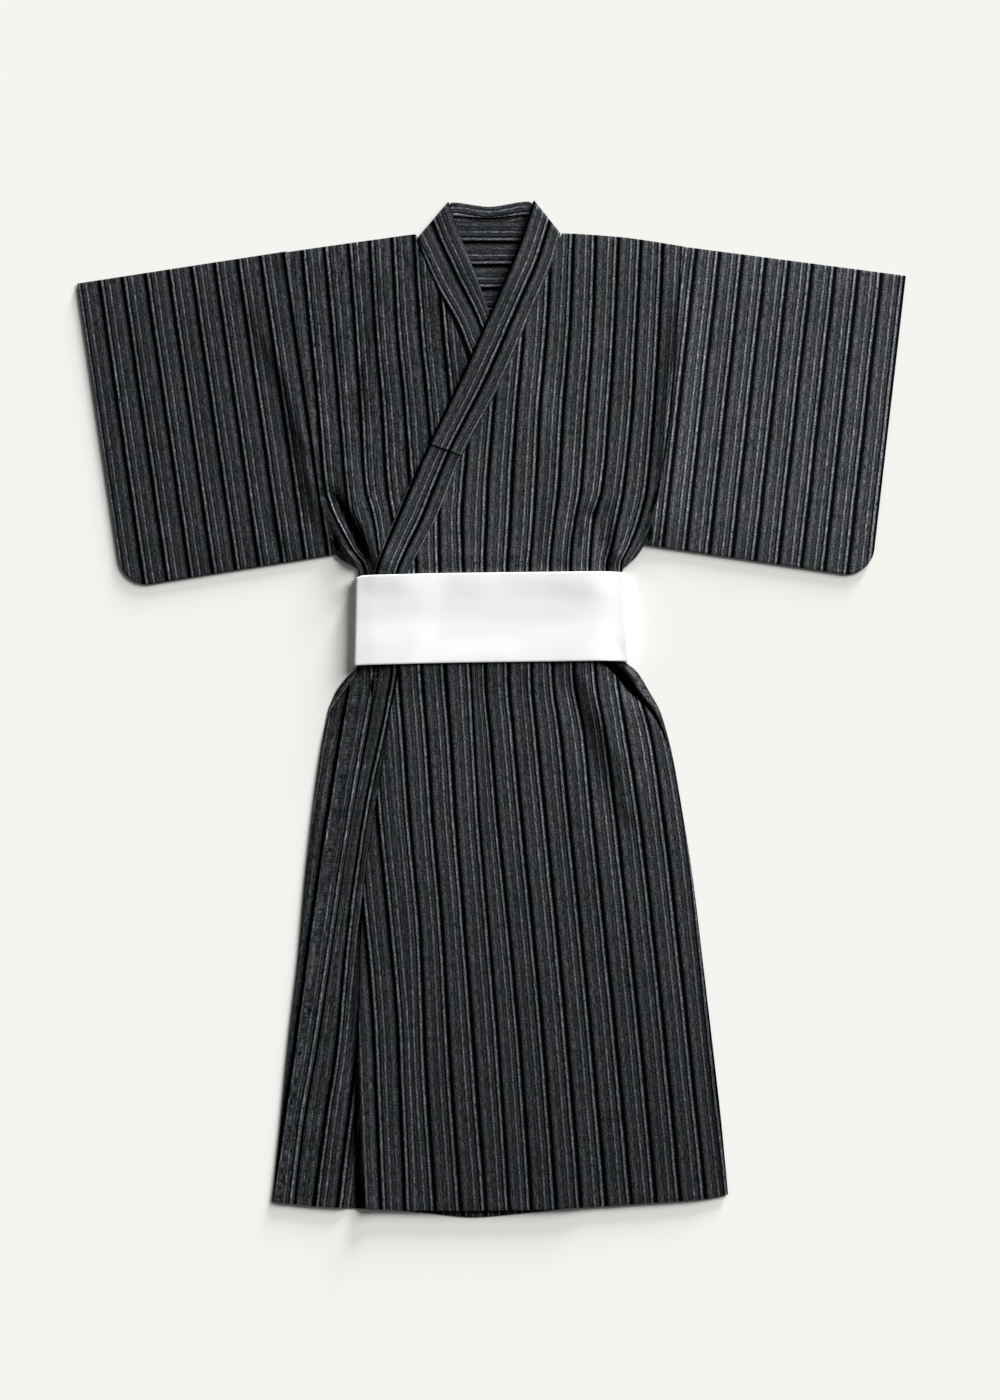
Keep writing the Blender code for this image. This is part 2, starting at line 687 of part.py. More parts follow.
def neck_lining(finish):
    """Cloth cut across the grain that lines the back inside the neck."""
    y = np.linspace(LINING["y"][0], LINING["y"][-1], LINING_ROWS)[:, None]
    right, left = curve(LINING, "y", "right", y), curve(LINING, "y", "left", y)
    x = right + (left - right) * LINING_ACROSS
    return sheet("neck_lining", x, y, 0 * x + CLOTH + SEAM, LINING_CLOTH, finish)


# ---- obi ----------------------------------------------------------------------------------

OBI = table(
    "y      right   left",
    (212.5, -210,   206.5),
    (190,   -210.5, 207.5),
    (165,   -211,   208.5),
    (138,   -211.5, 210),
    (111,   -212,   211.5),
    (88,    -212.5, 212.5),
    (66,    -213,   213.5))
OBI_ACROSS = np.linspace(0, 1, 19)
OBI_BACK = np.linspace(1, 0, 6)
OBI_TURNS = np.radians([65, 25])
# The band lies on the highest cloth found this far round each of its points.
FEEL_X, FEEL_Y = (-12.0, 0.0, 12.0), (-10.0, 0.0, 10.0)
GATHERS_X, GATHERS_Y = (-203.0, 200.0), (62.0, 217.0)


def gathers_top(x, y):
    """Top of everything that the obi wraps."""
    collar = (COLLAR_CLOTH + SEAM) * band_cover(x, y)
    return left_front_floor(x, y) + CLOTH + collar


def obi(finish):
    """The sash as a closed band: flat under the back, over the fronts and round both sides."""
    y = OBI["y"][:, None]
    right, left = OBI["right"][:, None] + OBI_CORNER, OBI["left"][:, None] - OBI_CORNER
    x = right + (left - right) * OBI_ACROSS
    y_front = y - OBI_TILT * (1 - ramp(TILT_FROM, TILT_TO, x)) * ramp(OBI_LOW, OBI_HIGH, y)
    near = [gathers_top(np.clip(x + dx, *GATHERS_X), np.clip(y_front + dy, *GATHERS_Y))
            for dx in FEEL_X for dy in FEEL_Y]
    room = np.max(near, axis=0) + SEAM + OBI_ROOM
    x_back = right + (left - right) * OBI_BACK

    def layer(inset):
        """The band's ring at each row: its outer face, or the inner one inset by the cloth."""
        radius = OBI_CORNER - inset
        turns = OBI_TURNS
        top = room + OBI_CLOTH - inset
        rings = [stack(x, y_front, top)]
        for edge, end, way, y_end in ((left, top[:, -1:], 1, y_front[:, -1:]),
                                      (right, top[:, :1], -1, y_front[:, :1])):
            high = stack(edge + way * radius * np.cos(turns), y_end,
                         end - radius + radius * np.sin(turns))
            low = stack(edge + way * radius * np.cos(turns[::-1]), y,
                        inset + radius - radius * np.sin(turns[::-1]))
            turned = np.concatenate((high, low), axis=1)
            rings.append(turned if way > 0 else turned[:, ::-1])
        rings.insert(2, stack(x_back, y, inset + 0 * x_back))
        return np.concatenate(rings, axis=1)

    return wall("obi", layer(0), layer(OBI_CLOTH), finish, ring=True)


# ---- garment ------------------------------------------------------------------------------

def clear_scene():
    for item in list(bpy.data.objects):
        bpy.data.objects.remove(item, do_unlink=True)


def build():
    clear_scene()
    cotton = material("striped_cotton", INDIGO_BLACK, 0.92)
    overlap_cotton = material("striped_cotton_overlap", OVERLAP_BLACK, 0.92)
    sleeve_cotton = material("striped_cotton_sleeve", SLEEVE_BLACK, 0.92)
    collar_cotton = material("striped_cotton_collar", COLLAR_BLACK, 0.9)
    lining_cotton = material("striped_cotton_lining", LINING_BLACK, 0.93)
    sash_cotton = material("white_cotton", OBI_WHITE, 0.75)
    body("left", cotton)
    body("right", cotton)
    left_overlap(overlap_cotton)
    right_overlap(overlap_cotton)
    sleeve("left", sleeve_cotton)
    sleeve("right", sleeve_cotton)
    collars(collar_cotton)
    back_collar(collar_cotton)
    neck_lining(lining_cotton)
    obi(sash_cotton)


build()
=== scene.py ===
"""Looks of a cotton yukata laid flat on its back, closed left over right and held by its obi.

Lengths are in millimetres until a mesh is made.  +Y runs from the hem to the collar, +Z up from
the surface that the robe lies on, and X to the wearer's left.
"""

import math

import bpy
import numpy as np
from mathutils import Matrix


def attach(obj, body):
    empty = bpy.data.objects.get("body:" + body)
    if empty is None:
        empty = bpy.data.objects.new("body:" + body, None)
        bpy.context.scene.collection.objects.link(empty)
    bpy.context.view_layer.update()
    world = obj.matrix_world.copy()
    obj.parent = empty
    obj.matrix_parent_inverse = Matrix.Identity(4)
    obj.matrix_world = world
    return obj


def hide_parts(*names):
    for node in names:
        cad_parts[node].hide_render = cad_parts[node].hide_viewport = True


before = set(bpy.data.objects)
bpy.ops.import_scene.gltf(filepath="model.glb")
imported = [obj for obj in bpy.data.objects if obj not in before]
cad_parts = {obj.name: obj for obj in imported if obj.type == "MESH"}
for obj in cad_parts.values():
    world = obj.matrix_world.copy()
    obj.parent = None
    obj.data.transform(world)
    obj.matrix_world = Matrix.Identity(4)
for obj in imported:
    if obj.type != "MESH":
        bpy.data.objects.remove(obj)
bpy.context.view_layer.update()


# ==== View =================================================================================
# Straight down on the robe through a long lens, with some room round it.

for item in list(bpy.context.selected_objects):
    item.select_set(False)

SENSOR = 36.0                               # millimetres
EYE_HEIGHT, VIEW_LENGTH = 6.0, 2.17         # metres above the surface, and along it
VIEW_MIDDLE = (0.0132, 0.0136)

lens = bpy.data.cameras.new("overhead")
lens.sensor_fit = "VERTICAL"
lens.sensor_height = SENSOR
lens.lens = SENSOR * EYE_HEIGHT / VIEW_LENGTH
overhead = bpy.data.objects.new("overhead", lens)
overhead.location = (*VIEW_MIDDLE, EYE_HEIGHT)
bpy.context.collection.objects.link(overhead)
bpy.context.scene.camera = overhead


# ==== Body lengths =========================================================================
# Two lengths of striped cotton, one for each side, run from the front hem over the shoulder to
# the back hem.  They are joined down the centre back, and gathered in at the waist by the obi.
# Each is a thin shell on its solid's form, with its creases listed one by one.

MM = 0.001
CLOTH, SHELL = 1.5, 0.8       # the solid's wall, and the shell that stands for it
SEAM, AIR, WRAP_AIR = 0.3, 0.8, 0.7
OBI_CLOTH, OBI_LOW, OBI_HIGH = 2.0, 69.0, 210.0
SHOULDER_FOLD = CLOTH + AIR / 2
REPEAT = 37.2                 # the stripe's repeat
LEAST_WALL = 2 * SHELL + 0.4  # two shells and a little air, where layers press together
EASED = 0.6                   # how much flatter the right front lies where it is covered
OBI_NEAR, OBI_FAR = 8, 55     # where the back begins and ends to rise over the obi
SLACK = 0.5                   # height of the cloth's slight unevenness
SHARP = math.radians(50)      # rims bend more sharply than this, folds less
FOLD_TURNS = np.radians([60, 35, 10, -10, -35, -60])


def table(columns, *rows):
    """A short table with named columns, kept as one array for each column."""
    return {name: np.array(values, float) for name, values in zip(columns.split(), zip(*rows))}


# Each sleeve: its cuff's ends and the ends of its seam with the body, which bends once.
SLEEVES = {
    "right": table(
        "cuff_x  cuff_y  seam_x  seam_y",
        (-642,   659,    -317,   709),
        (-571,   186,    -241,   239)),
    "left": table(
        "cuff_x  cuff_y  seam_x  seam_y",
        (642,    671,    298,    716),
        (588,    202,    237,    254))}
SEAM_BEND = 0.16
SEAM_BEND_X = {"right": -263.5, "left": 259.0}

SIDES = table(
    "y      right   left   front_right  front_left",
    (254,   -245.4, 237,   -245.4,      237),
    (239,   -241,   228,   -241,        228),
    (226,   -224,   216,   -225,        215),
    (214.5, -207,   203,   -206.5,      202.5),
    (138,   -206.5, 204,   -205,        203),
    (74,    -206,   205,   -202,        171),
    (70,    -207,   210,   -203,        174),
    (66,    -208,   216,   -204,        178),
    (60,    -212,   223,   -206,        184),
    (50,    -223,   231,   -210,        193.5),
    (28,    -240,   244,   -227,        211),
    (12,    -247.5, 253.5, -238,        229),
    (0,     -252.5, 260,   -245.5,      242),
    (-30,   -258.5, 270,   -257,        261),
    (-79,   -266.5, 282,   -266,        280),
    (-141,  -275,   293,   -274.5,      292.5),
    (-265,  -289,   312.5, -288.5,      312),
    (-389,  -300,   327.5, -299.5,      327),
    (-513,  -314.5, 342,   -314,        341.5),
    (-637,  -326.5, 356,   -326,        355.5),
    (-790,  -343,   370.5, -342.5,      370))

WRAP_EDGE = table(
    "y      x",
    (740,   111),
    (736,   109),
    (727,   103),
    (715,   93),
    (693,   77),
    (617,   44),
    (499,   -7),
    (392,   -64),
    (291,   -106),
    (209,   -143),
    (138,   -148),
    (65,    -144),
    (-17,   -158.5),
    (-106,  -172),
    (-188,  -186),
    (-296,  -199),
    (-391,  -203),
    (-513,  -205),
    (-670,  -201),
    (-790,  -194))

LEFT_OVERLAP_SEAM = table(
    "y      x",
    (-17,   -158.5),
    (-296,  -137),
    (-790,  -115))

RIGHT_INNER = table(
    "y      front   reach",
    (740,   -117,   -111),
    (733,   -116,   -90),
    (727,   -110,   -70),
    (720,   -102,   -48),
    (710,   -94,    -40),
    (545,   -12,    24),
    (386,   58,     86),
    (300,   90,     110),
    (209,   108,    118),
    (65,    100,    118),
    (-18,   70,     150),
    (-221,  42,     152),
    (-450,  5,      140),
    (-790,  -50,    100))

# Both edges of the right collar, from the neck down.
RIGHT_BAND = table(
    "in_x   in_y   out_x  out_y",
    (-67,   786,   -114.5, 730),
    (-50,   737,   -108,  714),
    (-27,   677,   -83,   653),
    (-5,    618,   -53,   592),
    (21,    548,   -29,   528),
    (60,    448,   10,    426),
    (100,   339,   53,    314),
    (116,   262,   66,    244))

SHOULDER = table(
    "x      y",
    (-322,  707),
    (-173,  728),
    (-109,  736),
    (-60,   738),
    (60,    738),
    (107,   737),
    (199,   731),
    (301,   716))

HEM = table(
    "x      front   back",
    (-347,  -761,   -760),
    (-337,  -764,   -762),
    (-207,  -774,   -772),
    (-98,   -777,   -782),
    (-30,   -777,   -788),
    (50,    -776,   -782),
    (153,   -772,   -771),
    (213,   -768,   -767),
    (342,   -758,   -757),
    (369,   -752,   -751))

LOFT = table(
    "y      air",
    (740,   0.6),
    (650,   3.2),
    (500,   4.4),
    (350,   4.8),
    (255,   6.6),
    (209,   6.0),
    (138,   5.2),
    (69,    6.0),
    (20,    6.2),
    (-100,  4.6),
    (-300,  3.6),
    (-600,  2.8),
    (-790,  1.4))

# The obi's upper and lower edges across the front.
OBI_EDGES = table(
    "x      top    bottom",
    (-212,  200,   66.8),
    (-206,  203.6, 67.2),
    (-200,  205.8, 67.6),
    (-142,  207.8, 69.3),
    (-95,   209.3, 70.5),
    (-2,    210.6, 72.1),
    (91,    211.7, 73.3),
    (168,   212.4, 74.2),
    (199,   211.4, 73.9),
    (210,   209.6, 72.8))

# Largest folds, as in the solids: soft ridges (+) and troughs (-) along straight runs.
FOLDS = table(
    "x0     y0     x1     y1     width  height",
    (-258,  322,   -204,  207,   9,     3.4),
    (-240,  328,   -190,  214,   7,     -5.0),
    (-222,  368,   -164,  228,   17,    3.0),
    (250,   330,   222,   232,   11,    2.6),
    (160,   300,   176,   216,   9,     -2.6),
    (188,   320,   196,   216,   13,    2.4),
    (120,   290,   132,   214,   12,    1.4),
    (-292,  590,   -272,  420,   17,    -1.6),
    (266,   560,   256,   380,   16,    -1.8),
    (-150,  520,   -140,  300,   26,    0.8),
    (140,   560,   120,   330,   30,    0.7),
    (165,   46,    196,   -118,  15,    -2.8),
    (196,   40,    236,   -130,  18,    2.0),
    (120,   52,    136,   -90,   18,    1.2),
    (-214,  24,    -236,  -110,  14,    1.6),
    (-186,  50,    -204,  -60,   9,     -1.6),
    (60,    50,    70,    -80,   20,    0.7),
    (-60,   50,    -64,   -70,   20,    0.6),
    (10,    -260,  24,    -620,  60,    0.7))

# Finer creases of the fronts, ridges (+) and troughs (-).  Each bends once; east and west are how
# far its sides spread, and begin, bend and end its height at the three points.
CREASES = table(
    "x0    y0    x1    y1    x2    y2    east  west  begin  bend  end",
    (-186, 640,  -195, 565,  -209, 515,  9,    22,   -1.6,  -5.0,  -3.4),    # right chest
    (-209, 515,  -212, 460,  -214, 400,  9,    20,   -3.4,  -3.2,  -0.8),
    (-166, 610,  -176, 540,  -182, 440,  22,   12,   0.5,   1.7,   0.5),
    (-256, 650,  -247, 560,  -240, 430,  8,    16,   -0.8,  -2.2,  -2.4),
    (-226, 600,  -222, 500,  -232, 420,  14,   16,   0.5,   1.0,   0.2),
    (-120, 500,  -134, 400,  -146, 300,  8,    16,   -0.3,  -1.2,  -0.4),
    (-98,  420,  -110, 350,  -122, 290,  10,   8,    0.3,   0.7,   0.2),
    (-249, 336,  -212, 274,  -192, 220,  7,    8,    -2.4,  -10.0, -11.0),   # right waist
    (-234, 334,  -199, 280,  -181, 232,  18,   6,    0.4,   3.0,   3.4),
    (-266, 344,  -245, 288,  -220, 232,  15,   4,    1.0,   3.4,   2.6),
    (-250, 272,  -240, 254,  -230, 238,  4,    6,    -2.0,  -5.0,  -3.0),
    (-152, 320,  -150, 262,  -156, 214,  6,    10,   0.3,   1.2,   0.9),
    (-136, 320,  -136, 262,  -143, 214,  5,    7,    -0.2,  -1.3,  -0.6),
    (248,  570,  233,  450,  218,  340,  13,   26,   -0.2,  -3.0, -1.4),     # left chest
    (56,   600,  52,   530,  46,   460,  14,   10,   -0.4,  -2.0, -0.5),
    (232,  650,  222,  520,  214,  400,  18,   20,   0.4,   1.2,  0.4),
    (196,  640,  186,  520,  176,  400,  12,   24,   -0.4,  -1.2, -0.3),
    (158,  600,  150,  480,  150,  380,  16,   18,   0.3,   1.0,  0.4),
    (108,  640,  94,   500,  82,   360,  12,   22,   -0.3,  -0.9, -0.4),
    (74,   560,  66,   440,  60,   320,  14,   16,   0.3,   0.8,  0.2),
    (36,   480,  30,   380,  30,   280,  9,    16,   -0.3,  -0.8, -0.2),
    (184,  382,  169,  332,  154,  298,  6,    7,    -0.6,  -3.4,  -4.0),    # left waist
    (154,  298,  151,  252,  148,  212,  6,    6,    -4.0,  -2.4,  -1.2),
    (134,  328,  124,  290,  118,  246,  14,   8,    -1.4,  -5.6,  -2.2),
    (80,   384,  72,   312,  68,   230,  14,   8,    -0.8,  -2.0,  -2.6),
    (188,  300,  183,  266,  180,  230,  5,    9,    -0.6,  -2.3,  -1.4),
    (168,  372,  148,  312,  139,  262,  9,    10,   0.8,   2.8,  1.4),
    (196,  344,  178,  306,  170,  232,  13,   9,    -0.6,  -3.0, -0.9),
    (222,  330,  204,  276,  190,  220,  5,    7,    0.4,   1.7,  1.2),
    (247,  318,  236,  270,  212,  220,  5,    9,    -1.0,  -3.6, -2.0),
    (120,  300,  116,  250,  114,  212,  5,    9,    -0.3,  -1.2, -1.1),
    (98,   262,  97,   236,  95,   212,  4,    6,    -0.2,  -0.9, -1.3),
    (60,   280,  64,   244,  66,   212,  8,    8,    0.2,   0.8,  0.8),
    (24,   262,  26,   236,  27,   212,  5,    7,    -0.2,  -0.7, -0.9),
    (-30,  262,  -32,  240,  -34,  212,  8,    8,    0.2,   0.6,  0.7),
    (114,  62,   146,  -35,  180,  -160, 11,   20,   -4.2,  -6.4,  -2.6),    # left skirt
    (152,  48,   182,  -45,  212,  -158, 26,   12,   3.0,   8.0,   3.4),
    (127,  76,   130,  44,   134,  16,   4,    5,    -3.6,  -2.6,  -0.4),
    (97,   76,   98,   60,   102,  30,   6,    7,    -4.2,  -2.4,  -0.3),
    (70,   66,   72,   30,   78,   -30,  5,    6,    -0.9,  -0.9, -0.2),
    (44,   66,   46,   20,   50,   -60,  5,    8,    -1.1,  -0.8, -0.2),
    (4,    66,   8,    -20,  12,   -110, 12,   10,   0.8,   0.8,  0.2),
    (-28,  66,   -28,  10,   -30,  -50,  5,    7,    -1.2,  -0.8, -0.1),
    (-60,  66,   -64,  20,   -68,  -50,  8,    7,    0.8,   0.6,  0.1),
    (-86,  66,   -92,  10,   -98,  -70,  6,    9,    -1.0,  -0.9, -0.2),
    (-112, 66,   -116, 20,   -124, -50,  8,    8,    0.8,   0.8,  0.2),
    (230,  10,   250,  -50,  264,  -130, 6,    14,   -0.8,  -1.6, -0.3),
    (240,  -60,  262,  -140, 276,  -220, 14,   16,   0.6,   1.2,  0.3),
    (290,  -220, 314,  -400, 334,  -600, 14,   30,   -0.4,  -2.4, -1.6),
    (330,  -560, 340,  -640, 352,  -748, 10,   14,   -0.4,  -1.6, -1.6),
    (262,  -280, 276,  -400, 288,  -560, 26,   24,   0.3,   0.9,  0.3),
    (178,  -180, 192,  -300, 212,  -460, 26,   22,   0.3,   1.0,  0.3),
    (148,  -280, 160,  -420, 172,  -660, 12,   30,   -0.2,  -1.1, -0.4),
    (98,   -110, 106,  -220, 120,  -400, 14,   28,   -0.3,  -1.0, -0.2),
    (56,   -40,  64,   -240, 76,   -420, 24,   20,   0.4,   1.0,  0.2),
    (80,   -430, 90,   -560, 96,   -720, 26,   20,   0.2,   0.9,  0.4),
    (30,   -300, 38,   -460, 46,   -700, 10,   24,   -0.2,  -0.9, -0.4),
    (-34,  -140, -26,  -260, -14,  -440, 12,   26,   -0.2,  -1.0, -0.2),
    (-72,  -60,  -66,  -200, -58,  -380, 16,   18,   0.3,   0.8,  0.2),
    (-60,  -420, -54,  -560, -50,  -740, 20,   18,   0.2,   0.8,  0.4),
    (-96,  -380, -90,  -560, -88,  -740, 9,    16,   -0.2,  -0.9, -0.5),
    (238,  -540, 246,  -640, 256,  -740, 12,   22,   -0.2,  -1.1, -0.6),
    (-178, 58,   -184, 30,   -196, -10,  4,    6,    -1.6,  -1.8, -0.3),     # right skirt
    (-190, 62,   -204, 24,   -218, -30,  7,    6,    0.6,   1.4,  0.3),
    (-222, 40,   -238, 0,    -250, -60,  5,    9,    -0.8,  -1.6, -0.3),
    (-252, -40,  -266, -150, -278, -280, 12,   10,   0.4,   1.0,  0.3),
    (-226, -110, -240, -240, -254, -380, 9,    18,   -0.3,  -1.1, -0.2),
    (-274, -330, -288, -470, -302, -640, 16,   14,   0.3,   0.9,  0.5),
    (-246, -400, -258, -540, -272, -720, 9,    16,   -0.2,  -1.0, -0.5),
    (-206, -250, -217, -480, -211, -772, 5,    16,   -0.6,  -2.6,  -4.4),
    (-3,   40,   -14,  -90,  -20,  -260, 8,    20,   -0.8,  -1.6,  -0.5))

# Where each repeat of the stripe begins, counted from the overlap's seam on the left front,
# and from the sleeve's and the side's seams on the right one.
LEFT_LINES = table(
    "y     line_0 line_2 line_3 line_4 line_6 line_8 line_9 line_10 line_11 line_12",
    (734,   -123,   -52,    -16,    19,     91,     159,    194.5,  230,    263,    300),
    (587,   -131,   -60,    -24,    12,     83,     154,    188,    222,    257,    292),
    (463,   -142,   -71,    -35,    1,      72,     145,    180,    215,    249,    283),
    (339,   -153,   -81,    -46,    -9,     66,     136,    168.5,  202,    238,    272),
    (293,   -156,   -84,    -49,    -10,    63,     128,    155.5,  193,    227,    261),
    (254,   -156,   -84,    -47,    -12,    60,     122,    152,    185,    213,    239),
    (220,   -154,   -83,    -46,    -13,    57,     120,    150,    177,    199,    219),
    (45,    -145,   -74,    -33,    -12,    60,     126,    159.5,  193,    221,    249),
    (-33,   -139,   -67,    -29,    -5,     67,     140,    172.5,  205,    243,    274),
    (-172,  -129,   -58,    -21,    7,      81,     154,    190.5,  227,    264,    301),
    (-358,  -112,   -43,    -5,     26,     100,    174,    211.5,  249,    286,    323),
    (-544,  -105,   -29,    10,     43,     117,    193,    231,    269,    306,    342),
    (-788,  -89,    -10,    26,     60,     137,    216,    254,    292,    332,    370))
RIGHT_LINES = table(
    "y     line_0 line_1 line_2 line_3 line_4 line_6",
    (734,  -295,  -260,  -222,  -188,  -153,  -86),
    (587,  -280,  -246,  -210,  -179,  -145,  -74),
    (463,  -267,  -235,  -202,  -168,  -133,  -61),
    (339,  -256,  -224,  -194,  -160,  -123,  -49),
    (306,  -245,  -220,  -184,  -154,  -117,  -43),
    (277,  -230,  -207,  -178,  -150,  -112,  -38),
    (246,  -212,  -196,  -174,  -146,  -108,  -34),
    (220,  -193,  -182,  -169,  -142,  -105,  -30),
    (62,   -178,  -152,  -115,  -73,   -36,   38),
    (14,   -185,  -159.5, -122, -75,   -37,   37),
    (-172, -219,  -198,  -161,  -108,  -71,   4),
    (-358, -248,  -222.5, -186, -136,  -99,   -25),
    (-529, -274,  -238,  -206,  -164,  -127,  -53),
    (-632, -292,  -254,  -219,  -178,  -141,  -67),
    (-788, -311,  -274,  -238,  -199,  -162,  -88))
# The right side seam of the skirt, where the back's cloth comes round to the front.
SIDE_SEAM = table(
    "y      x      line_0  line_1",
    (29,    -184,  -219,   -175),
    (14,    -187,  -222,   -178),
    (-172,  -220,  -253,   -212),
    (-358,  -249,  -280,   -241),
    (-529,  -275,  -303,   -267),
    (-632,  -293,  -318,   -285),
    (-788,  -312,  -342,   -304))


# Painted shade and painted light along runs: tone multiplies the cloth's colour, below 1 painting
# the shade of folds, gaps and cast shadows, above 1 painting light on ridges, 1 the plain cloth.
# The black ones paint the shade in narrow tucks, where the cloth dips out of sight.  begin, bend
# and end are half its width at the three points, and soft is how far it fades out.
PAINTED_LIGHT_AND_SHADE = table(
    "x0    y0    x1    y1    x2    y2    begin  bend  end   soft  tone",
    (-246, 336,  -227, 309,  -214, 281,  1.0,   4.6,  6.6,  2.4,  0.03),     # right waist
    (-214, 281,  -202, 257,  -191, 236,  6.6,   7.6,  5.0,  2.4,  0.03),
    (-243, 269,  -241, 257,  -238, 247,  1.5,   4.5,  3.5,  2.4,  0.03),
    (-251, 336,  -240, 312,  -228, 288,  2.0,   3.0,  2.0,  7.0,  0.60),
    (-262, 326,  -250, 292,  -228, 244,  3.0,   5.0,  4.0,  5.0,  2.00),
    (-192, 234,  -188, 226,  -184, 218,  3.0,   4.0,  4.0,  6.0,  1.80),
    (-199, -292, -201, -342, -203, -384, 1.0,   5.0,  1.0,  2.4,  0.03),     # beside the wrap
    (-208, -470, -210, -640, -205, -776, 1.0,   4.0,  6.5,  2.4,  0.03),
    (259,  348,  253,  324,  246,  303,  1.0,   3.4,  0.8,  2.4,  0.03),     # left waist
    (190,  266,  185,  240,  180,  214,  0.8,   2.4,  3.0,  2.4,  0.03),
    (292,  664,  284,  551,  277,  453,  1.2,   1.8,  1.8,  2.4,  0.03),     # left sleeve's seam
    (277,  453,  267,  390,  259,  346,  1.8,   1.6,  1.0,  2.4,  0.03),
    (154,  316,  147,  294,  138,  262,  3.0,   4.0,  3.0,  14.0, 0.60),     # left waist's gathers
    (128,  300,  121,  262,  116,  226,  2.0,   3.0,  3.0,  12.0, 0.72),
    (78,   306,  73,   262,  70,   222,  3.0,   5.0,  5.0,  14.0, 0.76),
    (197,  344,  191,  326,  184,  308,  2.0,   4.0,  2.0,  12.0, 0.70),
    (-190, 606,  -200, 576,  -214, 552,  3.0,   5.0,  3.0,  14.0, 0.80),     # right chest
    (-230, 540,  -231, 486,  -227, 430,  2.0,   4.0,  2.0,  13.0, 0.80),
    (42,   560,  38,   532,  34,   500,  2.0,   5.0,  2.0,  13.0, 0.78),     # left chest
    (262,  618,  261,  570,  257,  520,  1.0,   3.0,  1.0,  10.0, 1.25),
    (-378, 606,  -354, 545,  -330, 480,  2.0,   4.0,  2.0,  12.0, 0.82),     # right sleeve
    (-346, 440,  -334, 370,  -308, 300,  3.0,   5.0,  3.0,  16.0, 0.84),
    (-310, 620,  -300, 560,  -290, 494,  2.0,   4.0,  2.0,  12.0, 1.22),
    (-303, 420,  -290, 388,  -276, 350,  2.0,   3.0,  2.0,  9.0,  1.40),
    (-330, 704,  -328, 682,  -325, 650,  5.0,   7.0,  5.0,  15.0, 0.80),
    (295,  672,  292,  640,  289,  604,  3.0,   5.0,  3.0,  12.0, 0.76),     # left sleeve
    (318,  -280, 334,  -480, 357,  -748, 2.0,   5.0,  5.0,  17.0, 0.76),     # left skirt
    (128,  44,   141,  -8,   154,  -66,  2.0,   3.0,  2.0,  9.0,  0.76),
    (188,  14,   197,  -34,  206,  -76,  3.0,   6.0,  3.0,  13.0, 1.22),
    (-18,  62,   -16,  -20,  -12,  -100, 2.0,   3.0,  1.0,  8.0,  0.82),
    (-5,   62,   -1,   -20,  5,    -110, 3.0,   4.0,  2.0,  9.0,  1.14))


def curve(rows, key, value, at):
    """Smooth curve through one column of a table, kept between neighbouring rows (PCHIP)."""
    order = np.argsort(rows[key])
    x, y = rows[key][order], rows[value][order]
    step = np.diff(x)
    slope = np.diff(y) / step
    tangent = np.zeros_like(y)
    same_way = slope[:-1] * slope[1:] > 0
    before, after = step[:-1][same_way], step[1:][same_way]
    tangent[1:-1][same_way] = 3 * (before + after) / (
        (2 * after + before) / slope[:-1][same_way] + (after + 2 * before) / slope[1:][same_way])
    tangent[0], tangent[-1] = slope[0], slope[-1]
    at = np.clip(np.asarray(at, float), x[0], x[-1])
    i = np.clip(np.searchsorted(x, at) - 1, 0, len(step) - 1)
    t = (at - x[i]) / step[i]
    return ((1 + 2 * t) * (1 - t) ** 2 * y[i] + t * (1 - t) ** 2 * step[i] * tangent[i]
            + t * t * (3 - 2 * t) * y[i + 1] + t * t * (t - 1) * step[i] * tangent[i + 1])


def ramp(low, high, at):
    """0 up to low, 1 from high on, smooth between."""
    t = np.clip((at - low) / (high - low), 0, 1)
    return t * t * (3 - 2 * t)


def rise(distance, reach):
    """0 at an edge and 1 from reach inwards, steepest at the edge."""
    return 1 - (1 - np.clip(distance / reach, 0, 1)) ** 2


def lift(y):
    """How far the obi under the robe lifts the back panels."""
    climb = ramp(OBI_LOW - OBI_FAR, OBI_LOW - OBI_NEAR, y)
    fall = ramp(OBI_HIGH + OBI_NEAR, OBI_HIGH + OBI_FAR, y)
    return (OBI_CLOTH + SEAM) * climb * (1 - fall)


def along_run(x, y, x0, y0, x1, y1):
    """How far a place lies along a straight run, 0 to 1, and how far away from it."""
    run_x, run_y = x1 - x0, y1 - y0
    along = np.clip(((x - x0) * run_x + (y - y0) * run_y) / (run_x ** 2 + run_y ** 2), 0, 1)
    return along, np.hypot(x - x0 - along * run_x, y - y0 - along * run_y)


def folds(rows, x, y):
    """Sum of a table's folds, each a rounded ridge or trough round a straight run."""
    total = 0
    for *run, width, height in zip(*rows.values()):
        _, away = along_run(x, y, *run)
        total = total + height * np.exp(-(away / width) ** 2)
    return total


def along_bend(x, y, x0, y0, x1, y1, x2, y2, values):
    """How far a place is from two straight runs, the value at the nearest point, and its side."""
    nearest, value, side = np.inf, 0, 1
    for *run, first, last in ((x0, y0, x1, y1, *values[:2]), (x1, y1, x2, y2, *values[1:])):
        along, away = along_run(x, y, *run)
        nearer = away < nearest
        value = np.where(nearer, first + (last - first) * along, value)
        side = np.where(nearer, (run[2] - run[0]) * (y - run[1])
                        - (run[3] - run[1]) * (x - run[0]), side)
        nearest = np.where(nearer, away, nearest)
    return nearest, value, side


def creases(rows, x, y):
    """Sum of a table's creases, each round two straight runs with a height that changes."""
    total = 0
    for *bends, east, west, begin, bend, end in zip(*rows.values()):
        nearest, height, side = along_bend(x, y, *bends, (begin, bend, end))
        total = total + height * np.exp(-(nearest / np.where(side > 0, east, west)) ** 2)
    return total


